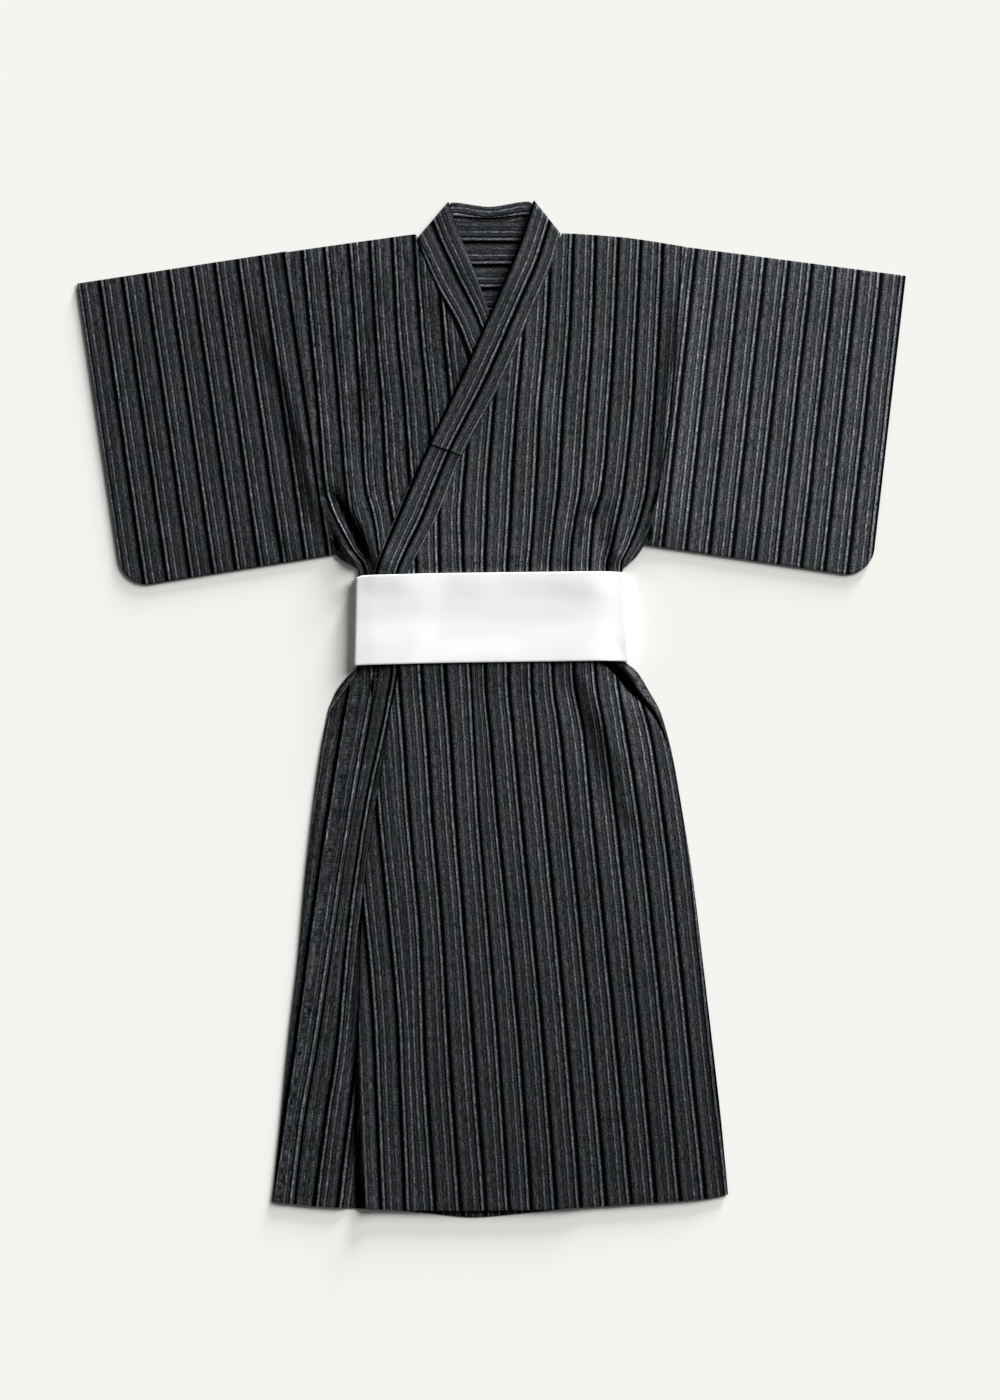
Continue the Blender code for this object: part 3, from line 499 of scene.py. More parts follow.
def painted_tone(x, y):
    """Painted shade and painted light: how far the cloth's colour is darkened and lightened, from
    the table.
    """
    painted_shading = 1.0
    for *bends, begin, bend, end, soft, tone in zip(*PAINTED_LIGHT_AND_SHADE.values()):
        nearest, width, _ = along_bend(x, y, *bends, (begin, bend, end))
        within = 1 - ramp(width - soft / 3, width + soft * 2 / 3, nearest)
        painted_shading = painted_shading * (1 + (tone - 1) * within)
    return painted_shading


def slack(x, y, seed, across=46.0, along=210.0):
    """Slight unevenness of cloth that was smoothed by hand, longer along its threads."""
    waves = 9
    rng = np.random.default_rng(seed)
    total = 0
    for _ in range(waves):
        turn, start = rng.normal(0, 0.35), rng.uniform(0, 2 * math.pi)
        size = rng.uniform(0.6, 1.7)
        total = total + np.sin(2 * math.pi * (x / across + turn * y / along) / size
                               + 1.1 * np.sin(2 * math.pi * y / (along * size) + start) + start)
    return total / waves


def sleeve_seam(side, y):
    """The straight runs of a sleeve's seam with the body."""
    ends = SLEEVES[side]
    low, top = ends["seam_y"][1] + SHOULDER_FOLD, ends["seam_y"][0] - SHOULDER_FOLD
    bend = low + SEAM_BEND * (top - low)
    return np.interp(y, (ends["seam_y"][1], bend, ends["seam_y"][0]),
                     (ends["seam_x"][1], SEAM_BEND_X[side], ends["seam_x"][0]))


def side_edge(side, layer, y):
    """Side of the body: the sleeve's seam, and below it the edge of the back or a front."""
    column = side if layer == "back" else f"front_{side}"
    return np.where(y > SLEEVES[side]["seam_y"][1], sleeve_seam(side, y),
                    curve(SIDES, "y", column, y))


def body_air(x, y):
    """Height of the air between the back and the fronts, dying out at every edge."""
    body_reach, skirt_reach, shoulder_reach = 42, 142, 45
    right, left = side_edge("right", "front", y), side_edge("left", "front", y)
    reach = body_reach + (skirt_reach - body_reach) * (1 - ramp(-60, 10, y))
    inside = rise(x - right, reach) * rise(left - x, reach)
    inside = inside * rise(curve(SHOULDER, "x", "y", x) - y, shoulder_reach)
    return np.maximum(AIR, AIR + inside * (curve(LOFT, "y", "air", y) + folds(FOLDS, x, y)))


def crossing_rise(x, y):
    """How far the right collar lifts what lies on it near the place where the two cross."""
    highest, fall, width = 4.1, 1.8, 82
    along, away = along_run(x, y, -10, 579, 25, 500)
    return (highest - fall * along) * np.exp(-(away / width) ** 2)


def covered(x, y):
    """1 where the left front covers the right one, 0 where the right one shows."""
    return ramp(0, 90, x - curve(WRAP_EDGE, "y", "x", y))


def right_front_floor(x, y):
    """Underside of the right front; where the left one covers it, it lies flatter."""
    air = AIR + (body_air(x, y) - AIR) * (1 - EASED * covered(x, y))
    return lift(y) + CLOTH + air


def left_front_floor(x, y):
    """Underside of the left front: on the right one, or on the back beyond its edge."""
    reach = curve(RIGHT_INNER, "y", "reach", y)
    on_right = 1 - ramp(reach + 12, reach + 60, x)
    step = CLOTH + SEAM + WRAP_AIR + crossing_rise(x, y)
    return lift(y) + CLOTH + body_air(x, y) + on_right * step


def stripe_count(rows, x, y):
    """Repeats of the stripe from its first line, at each place, from a table of lines."""
    counts = [int(name.split("_")[1]) for name in rows if name.startswith("line_")]
    places = [curve(rows, "y", f"line_{count}", y) for count in counts]
    total = counts[0] + np.minimum(0, x - places[0]) / REPEAT
    for low, high, here, there in zip(counts, counts[1:], places, places[1:]):
        total = total + (high - low) * np.clip((x - here) / (there - here), 0, 1)
    return total + np.maximum(0, x - places[-1]) / REPEAT


def stack(x, y, z):
    return np.stack(np.broadcast_arrays(x, y, z), axis=-1)


def shell(name, outer, inner, stripe, along, finish, ring=False, beyond=None, tone=1.0):
    """A closed thin wall between two grids of points, rows by columns.

    stripe and along place the cloth's pattern, and tone its painted shade and painted light, which
    scale its colour.  beyond gives a column, and the stripes of the faces that lie past it, where
    two cloths meet in a seam."""
    rows, columns = outer.shape[:2]
    count = rows * columns
    place = np.arange(count).reshape(rows, columns)
    if ring:
        place = np.concatenate((place, place[:, :1]), axis=1)
    out = np.stack((place[:-1, :-1], place[:-1, 1:], place[1:, 1:], place[1:, :-1]), axis=-1)
    inn = count + out[..., ::-1]
    edges = [place[0], place[-1, ::-1]]
    if not ring:
        edges += [place[::-1, 0], place[:, -1]]
    rims = [np.stack((edge[1:], edge[:-1], count + edge[:-1], count + edge[1:]), axis=-1)
            for edge in edges]
    faces = np.concatenate((out.reshape(-1, 4), inn.reshape(-1, 4), *rims))
    points = np.concatenate((outer.reshape(-1, 3), inner.reshape(-1, 3))) * MM
    # Outer faces point away from the inner grid.
    corner = points[out[len(out) // 2, columns // 2]]
    normal = np.cross(corner[1] - corner[0], corner[2] - corner[0])
    if np.dot(normal, corner[0] - points[inn[len(out) // 2, columns // 2, 3]]) < 0:
        faces = faces[:, ::-1]
    mesh = bpy.data.meshes.new(name)
    mesh.from_pydata(points.tolist(), [], faces.tolist())
    layer = mesh.uv_layers.new(name="cloth")
    flat = np.broadcast_to(stripe, (rows, columns)).ravel()
    run = np.broadcast_to(along, (rows, columns)).ravel()
    corners = faces.ravel() % count
    u, v = flat[corners], run[corners]
    if beyond is not None:
        first, other = beyond
        past = np.repeat((faces % count % columns).min(axis=1) >= first, 4)
        u = np.where(past, other.ravel()[corners], u)
    layer.data.foreach_set("uv", np.stack((u, v), axis=-1).ravel())
    # The tone attribute holds the painted shade and painted light.
    painted_shading = mesh.attributes.new("tone", "FLOAT", "POINT")
    painted_shading.data.foreach_set("value", np.tile(np.broadcast_to(tone, (rows, columns)).ravel(), 2))
    mesh.shade_smooth()
    mesh.set_sharp_from_angle(angle=SHARP)
    mesh.materials.append(finish)
    piece = bpy.data.objects.new(name, mesh)
    bpy.context.collection.objects.link(piece)
    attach(piece, "root")
    return piece


class Value:
    """One socket of a finish's node tree; sums of values add their own Math nodes."""

    def __init__(self, tree, socket=None):
        self.tree = tree
        self.socket = socket

    def node(self, kind, settings=None, sockets=None, out=0):
        """Any node: its settings first, then the values or links of its sockets."""
        made = self.tree.nodes.new(kind)
        for key, setting in (settings or {}).items():
            if key == "stops":
                stops = made.color_ramp.elements
                while len(stops) < len(setting):
                    stops.new(1.0)
                for stop, (position, level) in zip(stops, setting):
                    stop.position = position
                    stop.color = (level, level, level, 1)
            else:
                setattr(made, key, setting)
        for key, value in (sockets or {}).items():
            if isinstance(value, Value):
                self.tree.links.new(value.socket, made.inputs[key])
            else:
                made.inputs[key].default_value = value
        return Value(self.tree, made.outputs[out])

    def maths(self, operation, a, b):
        return self.node("ShaderNodeMath", {"operation": operation}, {0: a, 1: b})

    def __add__(self, other):
        return self.maths("ADD", self, other)

    def __radd__(self, other):
        return self.maths("ADD", other, self)

    def __sub__(self, other):
        return self.maths("SUBTRACT", self, other)

    def __rsub__(self, other):
        return self.maths("SUBTRACT", other, self)

    def __mul__(self, other):
        return self.maths("MULTIPLY", self, other)

    def __rmul__(self, other):
        return self.maths("MULTIPLY", other, self)


# The woven stripe, over one repeat: black, grey field, thin light line, fine dark lines, bright.
STRIPE = (
    (0.000, 0.014), (0.016, 0.002), (0.040, 0.0004), (0.135, 0.0006), (0.160, 0.010),
    (0.190, 0.022), (0.240, 0.038), (0.310, 0.055), (0.355, 0.054), (0.400, 0.032),
    (0.440, 0.020), (0.500, 0.039), (0.555, 0.015), (0.592, 0.024), (0.622, 0.085),
    (0.648, 0.128), (0.674, 0.062), (0.700, 0.026), (0.735, 0.021), (0.765, 0.041),
    (0.800, 0.026), (0.845, 0.003), (0.882, 0.008), (0.904, 0.056), (0.924, 0.140),
    (0.954, 0.140), (0.976, 0.058))
HEM_Y, CHEST_Y = -0.80, 0.45      # metres: painted shade darkens the cloth towards the hem between these
COOL, WARM = (0.86, 0.995, 1.045, 1), (0.99, 0.96, 1.09, 1)
THREAD, YARN, WEFT, CLOUD = 4.4, 1.9, 4.0, 0.3    # how strongly each unevenness shows


def striped_cotton(name, brightness, seed, hem=None, black=0.0004):
    """Yarn-dyed cotton with uneven threads, from the cloth's own map.

    brightness paints light and shade into each piece's copy of the cloth, and hem is the painted
    shade that it darkens to at the hem; black is the brightness of its darkest yarn."""
    finish = bpy.data.materials.new(name)
    finish.use_nodes = True
    tree = finish.node_tree
    start = Value(tree)
    shader = tree.nodes["Principled BSDF"]
    place = start.node("ShaderNodeUVMap", {"uv_map": "cloth"})
    across = start.node("ShaderNodeSeparateXYZ", sockets={0: place})
    along = Value(tree, across.socket.node.outputs[1])

    def noise(across_scale, along_scale, detail, shift):
        spot = start.node("ShaderNodeCombineXYZ", sockets={
            0: across * across_scale, 1: along * along_scale, 2: seed + shift})
        return start.node("ShaderNodeTexNoise", sockets={
            "Vector": spot, "Scale": 1.0, "Detail": detail, "Roughness": 0.6}) - 0.5

    thread = noise(34.0, 3.6, 2.0, 0.0)
    yarn = noise(15.0, 1.2, 2.0, 5.0)
    weft = noise(13.0, 15.0, 3.0, 3.0)
    jag = noise(3.0, 22.0, 2.0, 7.0)
    slow = noise(1.0, 0.35, 2.0, 9.0)
    cloud = noise(0.8, 0.55, 4.0, 11.0)
    repeat = start.maths("FRACT", across + jag * 0.07 + slow * 0.05, 0.0)
    level = start.node("ShaderNodeValToRGB", {"stops": STRIPE}, {"Fac": repeat})
    uneven = (1.0 + thread * THREAD) * (1.0 + yarn * YARN) * (1.0 + weft * WEFT)
    uneven = uneven * (1.0 + cloud * CLOUD)
    # Painted shade: the colour darkens from the chest down to the hem.
    if hem is not None:
        spot = start.node("ShaderNodeTexCoord", out=3)
        height = start.node("ShaderNodeSeparateXYZ", sockets={0: spot}, out=1)
        brightness = start.node("ShaderNodeMapRange", {"interpolation_type": "SMOOTHSTEP"}, {
            "Value": height, "From Min": HEM_Y, "From Max": CHEST_Y, "To Min": hem,
            "To Max": brightness})
    # The tone attribute paints shade and light into the colour.
    tone = start.node("ShaderNodeAttribute", {"attribute_name": "tone"}, out=2)
    shade = start.maths("MAXIMUM", level * uneven * brightness * tone, black * tone)
    tint = start.node("ShaderNodeMix", {"data_type": "RGBA"}, {
        0: cloud * 3.2 + yarn * 1.5 + 0.5, 6: COOL, 7: WARM}, out=2)
    colour = start.node("ShaderNodeVectorMath", {"operation": "SCALE"}, {0: tint, "Scale": shade})
    tree.links.new(colour.socket, shader.inputs["Base Color"])
    bump = start.node("ShaderNodeBump", sockets={
        "Strength": 0.5, "Distance": 0.0008, "Height": thread + weft + yarn})
    tree.links.new(bump.socket, shader.inputs["Normal"])
    shader.inputs["Roughness"].default_value = 0.95
    shader.inputs["Specular IOR Level"].default_value = 0.0
    return finish


def creased(x, y):
    """Height of the fronts' finer creases, pressed flat under the obi and beside the collar."""
    pressed, dip = 0.9, 1.5
    low, high = curve(OBI_EDGES, "x", "bottom", x), curve(OBI_EDGES, "x", "top", x)
    under = ramp(low, low + 6, y) * (1 - ramp(high - 6, high, y))
    fine = (1 - pressed * under) * (creases(CREASES, x, y) + SLACK * slack(x, y, 5))
    # The cloth dips a little where it goes in under the obi's upper edge.
    fine = fine - dip * ramp(high - 1, high + 5, y) * (1 - ramp(high + 5, high + 32, y))
    beside = x - curve(WRAP_EDGE, "y", "x", y)
    by_collar = ramp(-52, -40, beside) * (1 - ramp(20, 34, beside)) * ramp(190, 205, y)
    return fine - pressed * by_collar * np.maximum(fine, 0)


CREST = {"left": 9.5, "right": 4.5}   # height of the cloth along a sleeve's seam


def seam_crest(side, y, away, reach):
    """Cloth stands up along a sleeve's seam, and falls off to both sides of it."""
    return CREST[side] * ramp(236, 296, y) * (1 - ramp(600, 690, y)) * (1 - rise(away, reach))


# Rows of points, closest where the cloth gathers.
HEM_LEVEL, SHOULDER_LEVEL = -775.0, 736.0
FRONT_LEVELS = np.concatenate((
    np.arange(HEM_LEVEL, 6, 7.0), np.arange(8, 60, 4.5),
    (61, 65.6, 70, 74, 78, 86, 100, 120, 140, 160, 180, 196, 206, 210, 213.2),
    np.arange(216, 345, 4.2), np.arange(347, 722, 6.5), (724, 730, SHOULDER_LEVEL)))
BACK_LEVELS = np.concatenate((
    (SHOULDER_LEVEL, 728, 720, 710), np.arange(698, 225, -14.0), (222, 217, 213.2, 210),
    np.arange(200, 80, -14.0), np.arange(74, -72, -4.6), np.arange(-80, -770, -14.0),
    (HEM_LEVEL,)))
HEM_BEND, SHOULDER_BEND = 150, 110    # how far in from each end the rows bend
SHOULDER_TOP = 738                    # where the cloth turns over the shoulder


def settle(x, level, hem):
    """Place a row: level across the panel, bending to the hem and the shoulder at its ends."""
    near_hem = 1 - ramp(HEM_LEVEL, HEM_LEVEL + HEM_BEND, level)
    near_top = ramp(SHOULDER_LEVEL - SHOULDER_BEND, SHOULDER_LEVEL, level)
    return (level + near_hem * (curve(HEM, "x", hem, x) - HEM_LEVEL)
            + near_top * (curve(SHOULDER, "x", "y", x) - SHOULDER_FOLD - SHOULDER_LEVEL))


def hem_turn(y, x, hem):
    """The turned-up hem stands a little higher than the single cloth above it."""
    turned_up, edge_fall, edge_width = 0.45, 0.5, 2.5
    above = y - curve(HEM, "x", hem, x)
    return turned_up * (1 - ramp(13, 16, above)) - edge_fall * np.exp(-(above / edge_width) ** 2)


def spread(side, levels, starts, fractions, layer, hem):
    """Points across a panel at each level, out to its side edge where the seam runs."""
    sign = 1 if side == "left" else -1
    level = levels[:, None]
    edge = side_edge(side, layer, level)
    for _ in range(3):        # the edge depends on where the row settles
        edge = side_edge(side, layer, settle(edge, level, hem))
    x = starts + (edge - sign * SEAM / 2 - starts) * fractions
    return x, settle(x, level, hem)


def outer_strip(side, x, y):
    """How far a place on the back lies beyond the front's edge, and from the back's own edge."""
    sign = 1 if side == "left" else -1
    return (sign * (x - side_edge(side, "front", y)), sign * (side_edge(side, "back", y) - x))


EDGE_ROLL, WELT, ALLOWANCE = 0.9, 2.4, 0.5    # heights along the edges of a front
SEAM_DEPTH, SEAM_WIDTH = 0.55, 2.6            # the groove along a seam
CURL = {"left": 5.5, "right": 4.0}            # how far the back's edge stands up below the obi
CURL_INSET, CURL_WIDTH = 14, 8
UNDER_OBI = 70                                # the skirt lies below this
# The stripe, in repeats: where the right front's begins afresh, and its side's beyond the seam.
BLACK_PART, MIRROR, CHEST_SHIFT = 0.32, 0.98, 0.035
TURNED_WIDTH, LINE_PART, PLAIN, PLAIN_DRIFT = 14, 0.085, 0.66, 0.1
# The back's edge that shows below the obi: its stripe across, whose black band on the left is
# stretched over the gap beside the front's edge as a painted shadow, and its tone, painted darker
# on the left as painted shade and lighter on the right.
EDGE_SHARES, EDGE_STRIPE, EDGE_START = (0, 0.47, 0.56, 1), (0.04, 0.125, 0.27, 0.36), 0.55
EDGE_PAINTED_TONE = {"left": -0.3, "right": 0.3}


def body(side, finish):
    """One length of cloth from the front hem over the shoulder to the back hem."""
    left = side == "left"
    sign = 1 if left else -1
    level = FRONT_LEVELS[:, None]
    edge = side_edge(side, "front", level)
    if left:
        seam = curve(LEFT_OVERLAP_SEAM, "y", "x", level)
        wrap = curve(WRAP_EDGE, "y", "x", level)
        start = turned = np.where(level < -17, np.maximum(seam, wrap), wrap)
        fractions = np.concatenate(((0, 0.004, 0.010), np.linspace(0.02, 0.975, 104),
                                    (0.984, 0.992, 0.997, 1)))
    else:
        # Columns run up to the side seam, and on round the side.
        start = curve(RIGHT_INNER, "y", "front", level)
        low = 1 - ramp(14, 64, level)
        turned = low * curve(SIDE_SEAM, "y", "x", level) + (1 - low) * (edge + 26)
        part = (turned - start) / (edge - start)
        to_seam = np.concatenate((np.linspace(0, 0.955, 108), (0.965, 0.98, 0.99, 1)))
        round_side = np.concatenate(((0.06, 0.12), np.linspace(0.2, 0.9, 12), (0.95, 1)))
        fractions = np.concatenate((part * to_seam, part + (1 - part) * round_side), axis=1)
    x, y = spread(side, FRONT_LEVELS, start, fractions, "front", "front")
    floor = (left_front_floor if left else right_front_floor)(x, y)
    to_side = np.abs(side_edge(side, "front", y) - x)
    calm = rise(to_side, 16) * rise(curve(SHOULDER, "x", "y", x) - y, 20)
    calm = calm * (1.0 if left else 1 - EASED * covered(x, y))
    top = np.maximum(floor + CLOTH + calm * creased(x, y), lift(y) + LEAST_WALL)
    top = top + hem_turn(y, x, "front")
    # The edge rolls down below the sleeve, and stands up along the sleeve's seam.
    top = top - EDGE_ROLL * (1 - rise(to_side, 7)) * (1 - ramp(250, 330, y))
    top = top + seam_crest(side, y, to_side, 30 if left else 36)
    if not left:
        # The cloth stands up beside the collar that is sewn to it.  slope turns the distance
        # across the page into the distance from the collar's slanting edge.
        slope = math.hypot(1, (98 - 10) / (716 - 426))
        beside = (curve(RIGHT_BAND, "out_y", "out_x", y) - x) / slope
        welt = ramp(1.5, 6, beside) * (1 - ramp(6, 40, beside))
        top = top + WELT * welt * ramp(400, 450, y) * (1 - ramp(690, 728, y))
    skirt = 1 - ramp(-30, 20, y)
    top = top - skirt * SEAM_DEPTH * np.exp(-((x - turned) / SEAM_WIDTH) ** 2)
    if not left:
        top = top + skirt * ALLOWANCE * ramp(0, 7, turned - x) * rise(to_side, 12)
    top[-1] = 2 * SHOULDER_FOLD

    turn = FOLD_TURNS[:, None]
    y_turn = curve(SHOULDER, "x", "y", x[-1]) - SHOULDER_FOLD
    outer_turn, inner_turn = (
        stack(x[-1], y_turn + radius * np.cos(turn), SHOULDER_FOLD + radius * np.sin(turn))
        for radius in (SHOULDER_FOLD, SHOULDER_FOLD - SHELL))

    neck = abs(x[-1, 0])
    centre = sign * np.interp(-BACK_LEVELS[:, None], (-736, -728, -720, -710),
                              (neck, neck - 3, 70, SEAM / 2))
    share = (x[-1] - x[-1, 0]) / (x[-1, -1] - x[-1, 0])
    x_back, y_back = spread(side, BACK_LEVELS, centre, share, "back", "back")
    # Just below the obi the back's cloth shows beyond the front's, and stands up at its edge.
    shown, to_edge = outer_strip(side, x_back, y_back)
    below_obi = ramp(-60, -10, y_back) * (1 - ramp(62, 76, y_back))
    curl = (below_obi * np.exp(-((to_edge - CURL_INSET) / CURL_WIDTH) ** 2)
            * rise(to_edge, 5) * ramp(1, 9, shown))
    z_back = lift(y_back) + CURL[side] * curl

    count = sign * stripe_count(LEFT_LINES if left else RIGHT_LINES, x, y)
    if not left:
        # Below the obi the stripe starts afresh at the side seam, from its black side.
        count = count + CHEST_SHIFT * ramp(230, 330, y)
        count = np.where((y < UNDER_OBI) & (count < 0) & (count > -BLACK_PART),
                         -MIRROR - count, count)
    tone = painted_tone(x, y)
    over = np.repeat(count[-1:], len(turn), axis=0)
    behind = sign * x_back / REPEAT + (count[-1] - sign * x[-1] / REPEAT)
    along_edge = ramp(-5, -1, shown) * (below_obi > 0)
    share_shown = shown / np.maximum(shown + to_edge, 1)
    # On the left the stripe's black band is stretched over the gap as a painted shadow.
    if left:
        strip = np.interp(share_shown, EDGE_SHARES, EDGE_STRIPE)
    else:
        strip = shown / REPEAT + EDGE_START
    behind = behind + along_edge * (strip - behind)
    stripe = np.concatenate((count, over, behind))
    # Painted shade and light: on the fronts from the table, and on the back's shown edge.
    tone = np.concatenate((tone, 1 + 0 * over, 1 + EDGE_PAINTED_TONE[side] * along_edge))
    along = np.concatenate((y, y[-1] + 2 - 2 * np.sin(turn) + 0 * x[-1:],
                            2 * SHOULDER_TOP - y_back)) / REPEAT
    beyond = None
    if not left:
        to_turn = curve(SIDE_SEAM, "y", "x", y) - x
        from_line = stripe_count(SIDE_SEAM, x, y)
        wrapped = np.where(from_line < LINE_PART, -from_line,
                           -PLAIN + PLAIN_DRIFT * ramp(0.1, 0.5, from_line))
        wrapped = np.where(to_turn < TURNED_WIDTH, -0.015 - to_turn / REPEAT, wrapped)
        wrapped = np.where(y < UNDER_OBI, wrapped, count)
        beyond = (len(to_seam) - 1, np.concatenate((wrapped, over, behind)))
    return shell(f"body_{side}_cloth",
                 np.concatenate((stack(x, y, top), outer_turn, stack(x_back, y_back, z_back))),
                 np.concatenate((stack(x, y, top - SHELL), inner_turn,
                                 stack(x_back, y_back, z_back + SHELL))),
                 stripe, along, finish, beyond=beyond, tone=tone)


# Painted light and shade: the left body's copy of the cloth is brighter than the right's, and both
# are painted darker towards the hem.
body_left = body("left", striped_cotton("striped_cotton_left_body_painted_light_and_shade", 1.27, 1.0,
                                        hem=0.70, black=0.0011))
body_right = body("right", striped_cotton("striped_cotton_right_body_painted_shade", 0.98, 1.5, hem=0.76))
for piece, side, width, area in ((body_left, "left", 0.50, 1.015),
                                 (body_right, "right", 0.38, 0.897)):
    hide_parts(f"body_{side}")


# ==== Overlaps =============================================================================
# Narrow gores of the same cotton, sewn to the fronts' edges with their stripes mirrored.  The
# left one shows beside the wrap's edge; the right one lies under the left front.

# Painted shade: the gores' cloth is painted darker towards the hem.
OVERLAP_COTTON = striped_cotton("striped_cotton_overlap", 0.90, 2.0, hem=0.74)
GORE_SEAM, FREE_ROLL = 0.5, 1.0   # depth of the seam's groove, and how far the free edge rolls
FREE_STAND = 3.4                  # how far the left one's free edge stands up towards the hem


def overlap(side, levels, fractions):
    """A gore from its free edge to its seam, turned in along the edge and up at the hem."""
    level = levels[:, None]
    if side == "left":
        free = curve(WRAP_EDGE, "y", "x", level)
        seam = curve(LEFT_OVERLAP_SEAM, "y", "x", level) - SEAM
        floor = left_front_floor
    else:
        free = curve(RIGHT_INNER, "y", "reach", level)
        seam = curve(RIGHT_INNER, "y", "front", level) + SEAM
        floor = right_front_floor
    x = free + (seam - free) * fractions
    y = settle(x, level, "front")
    to_free, to_seam = np.abs(x - free), np.abs(x - seam)
    fine = creased(x, y) * (rise(to_free, 14) if side == "left" else 1 - EASED * covered(x, y))
    top = np.maximum(floor(x, y) + CLOTH + fine, lift(y) + LEAST_WALL)
    top = top + hem_turn(y, x, "front")
    top = top - GORE_SEAM * np.exp(-(to_seam / 2.4) ** 2) - FREE_ROLL * (1 - rise(to_free, 5))
    if side == "left":
        top = top + FREE_STAND * (1 - ramp(-640, -280, y)) * np.exp(-(to_free / 18) ** 2)
    count = (x - seam + 15 + 12 * ramp(-520, -150, y)) / REPEAT
    return shell(f"overlap_{side}_cloth", stack(x, y, top), stack(x, y, top - SHELL),
                 -count, y / REPEAT, OVERLAP_COTTON)


gore_levels = FRONT_LEVELS[FRONT_LEVELS < -31]
overlap_left = overlap("left", gore_levels, np.concatenate((
    (0, 0.02, 0.05), np.linspace(0.09, 0.93, 16), (0.965, 0.985, 1))))
overlap_right = overlap("right", np.concatenate((
    gore_levels[::2], FRONT_LEVELS[(FRONT_LEVELS > -34) & (FRONT_LEVELS < 60)])),
    np.linspace(0, 1, 12))
for piece, side, flat, area in ((overlap_left, "left", (0.095, 0.75), 0.046),
                                (overlap_right, "right", (0.155, 0.84), 0.099)):
    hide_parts(f"overlap_{side}")


# ==== Sleeves ==============================================================================
# One width of cotton each, folded at the top and sewn below, with a rounded lower corner.  The
# cuff is open for the hand from the top fold down, and sewn shut below that.

SLEEVE_CREASES = table(
    "x0    y0    x1    y1    x2    y2    east  west  begin  bend  end",
    (-386, 620,  -336, 508,  -312, 417,  10,   26,   -0.8,  -3.0, -3.2),     # right sleeve
    (-312, 417,  -300, 362,  -292, 296,  10,   24,   -3.2,  -3.0, -1.6),
    (-364, 606,  -316, 504,  -292, 414,  18,   9,    0.5,   3.0,  3.2),
    (-292, 414,  -280, 350,  -268, 284,  14,   9,    3.2,   3.0,  2.0),
    (-288, 330,  -274, 292,  -262, 264,  14,   18,   -2.0,  -3.6, -3.0),
    (-338, 700,  -334, 676,  -331, 640,  12,   10,   -0.6,  -2.6, -0.6),
    (-350, 302,  -338, 270,  -326, 244,  7,    14,   -0.8,  -3.8, -3.2),
    (-370, 330,  -362, 290,  -350, 240,  12,   14,   0.3,   1.2,  0.8),
    (-430, 560,  -418, 430,  -410, 300,  24,   20,   0.3,   1.0,  0.3),
    (-474, 620,  -462, 500,  -450, 380,  12,   26,   -0.3,  -1.1, -0.3),
    (-520, 600,  -508, 460,  -496, 320,  24,   20,   0.3,   0.9,  0.4),
    (-562, 620,  -552, 520,  -538, 400,  12,   22,   -0.3,  -1.0, -0.2),
    (-504, 340,  -492, 280,  -484, 212,  10,   18,   -0.2,  -1.1, -0.7),
    (-596, 600,  -580, 440,  -560, 270,  18,   14,   0.3,   0.8,  0.5),
    (-450, 320,  -440, 270,  -434, 226,  12,   12,   0.2,   0.9,  0.6),
    (318,  650,  300,  480,  270,  290,  20,   12,   0.8,   2.2,  1.4),      # left sleeve
    (298,  690,  295,  650,  291,  605,  13,   10,   -0.6,  -2.6, -0.6),
    (352,  640,  338,  500,  318,  330,  12,   22,   -0.2,  -0.8, -0.5),
    (392,  640,  380,  500,  366,  360,  20,   18,   0.3,   1.0,  0.3),
    (436,  640,  422,  540,  408,  430,  12,   24,   -0.3,  -1.0, -0.3),
    (474,  560,  460,  430,  448,  300,  22,   20,   0.3,   0.9,  0.4),
    (522,  630,  508,  500,  494,  360,  12,   24,   -0.3,  -1.1, -0.3),
    (560,  600,  548,  460,  538,  320,  18,   18,   0.3,   0.9,  0.4),
    (592,  640,  584,  560,  574,  460,  10,   18,   -0.3,  -1.0, -0.4),
    (486,  320,  478,  270,  470,  222,  10,   18,   -0.2,  -1.0, -0.6),
    (560,  330,  552,  280,  544,  226,  10,   16,   -0.2,  -1.0, -0.7),
    (344,  330,  338,  290,  332,  256,  8,    14,   -0.2,  -1.2, -0.9),
    (410,  300,  402,  260,  398,  236,  12,   12,   0.2,   0.8,  0.6))
CUFF_CORNER, CUFF_OPENING = 45.0, 255.0
CUFF_JOIN = 6                     # how far in the layers are joined below the hand's opening
SLIT_OPEN, SLIT_REACH = 7.5, 22   # the slit beside the left seam's lower end
SLEEVE_AIR, CUFF_REACH = 2.8, 120
CUFF_HEM, CUFF_EDGE, ARM_SEAM = 0.4, 0.5, 0.3
FOLD_RUN = 700                    # where the threads pass the fold at the top


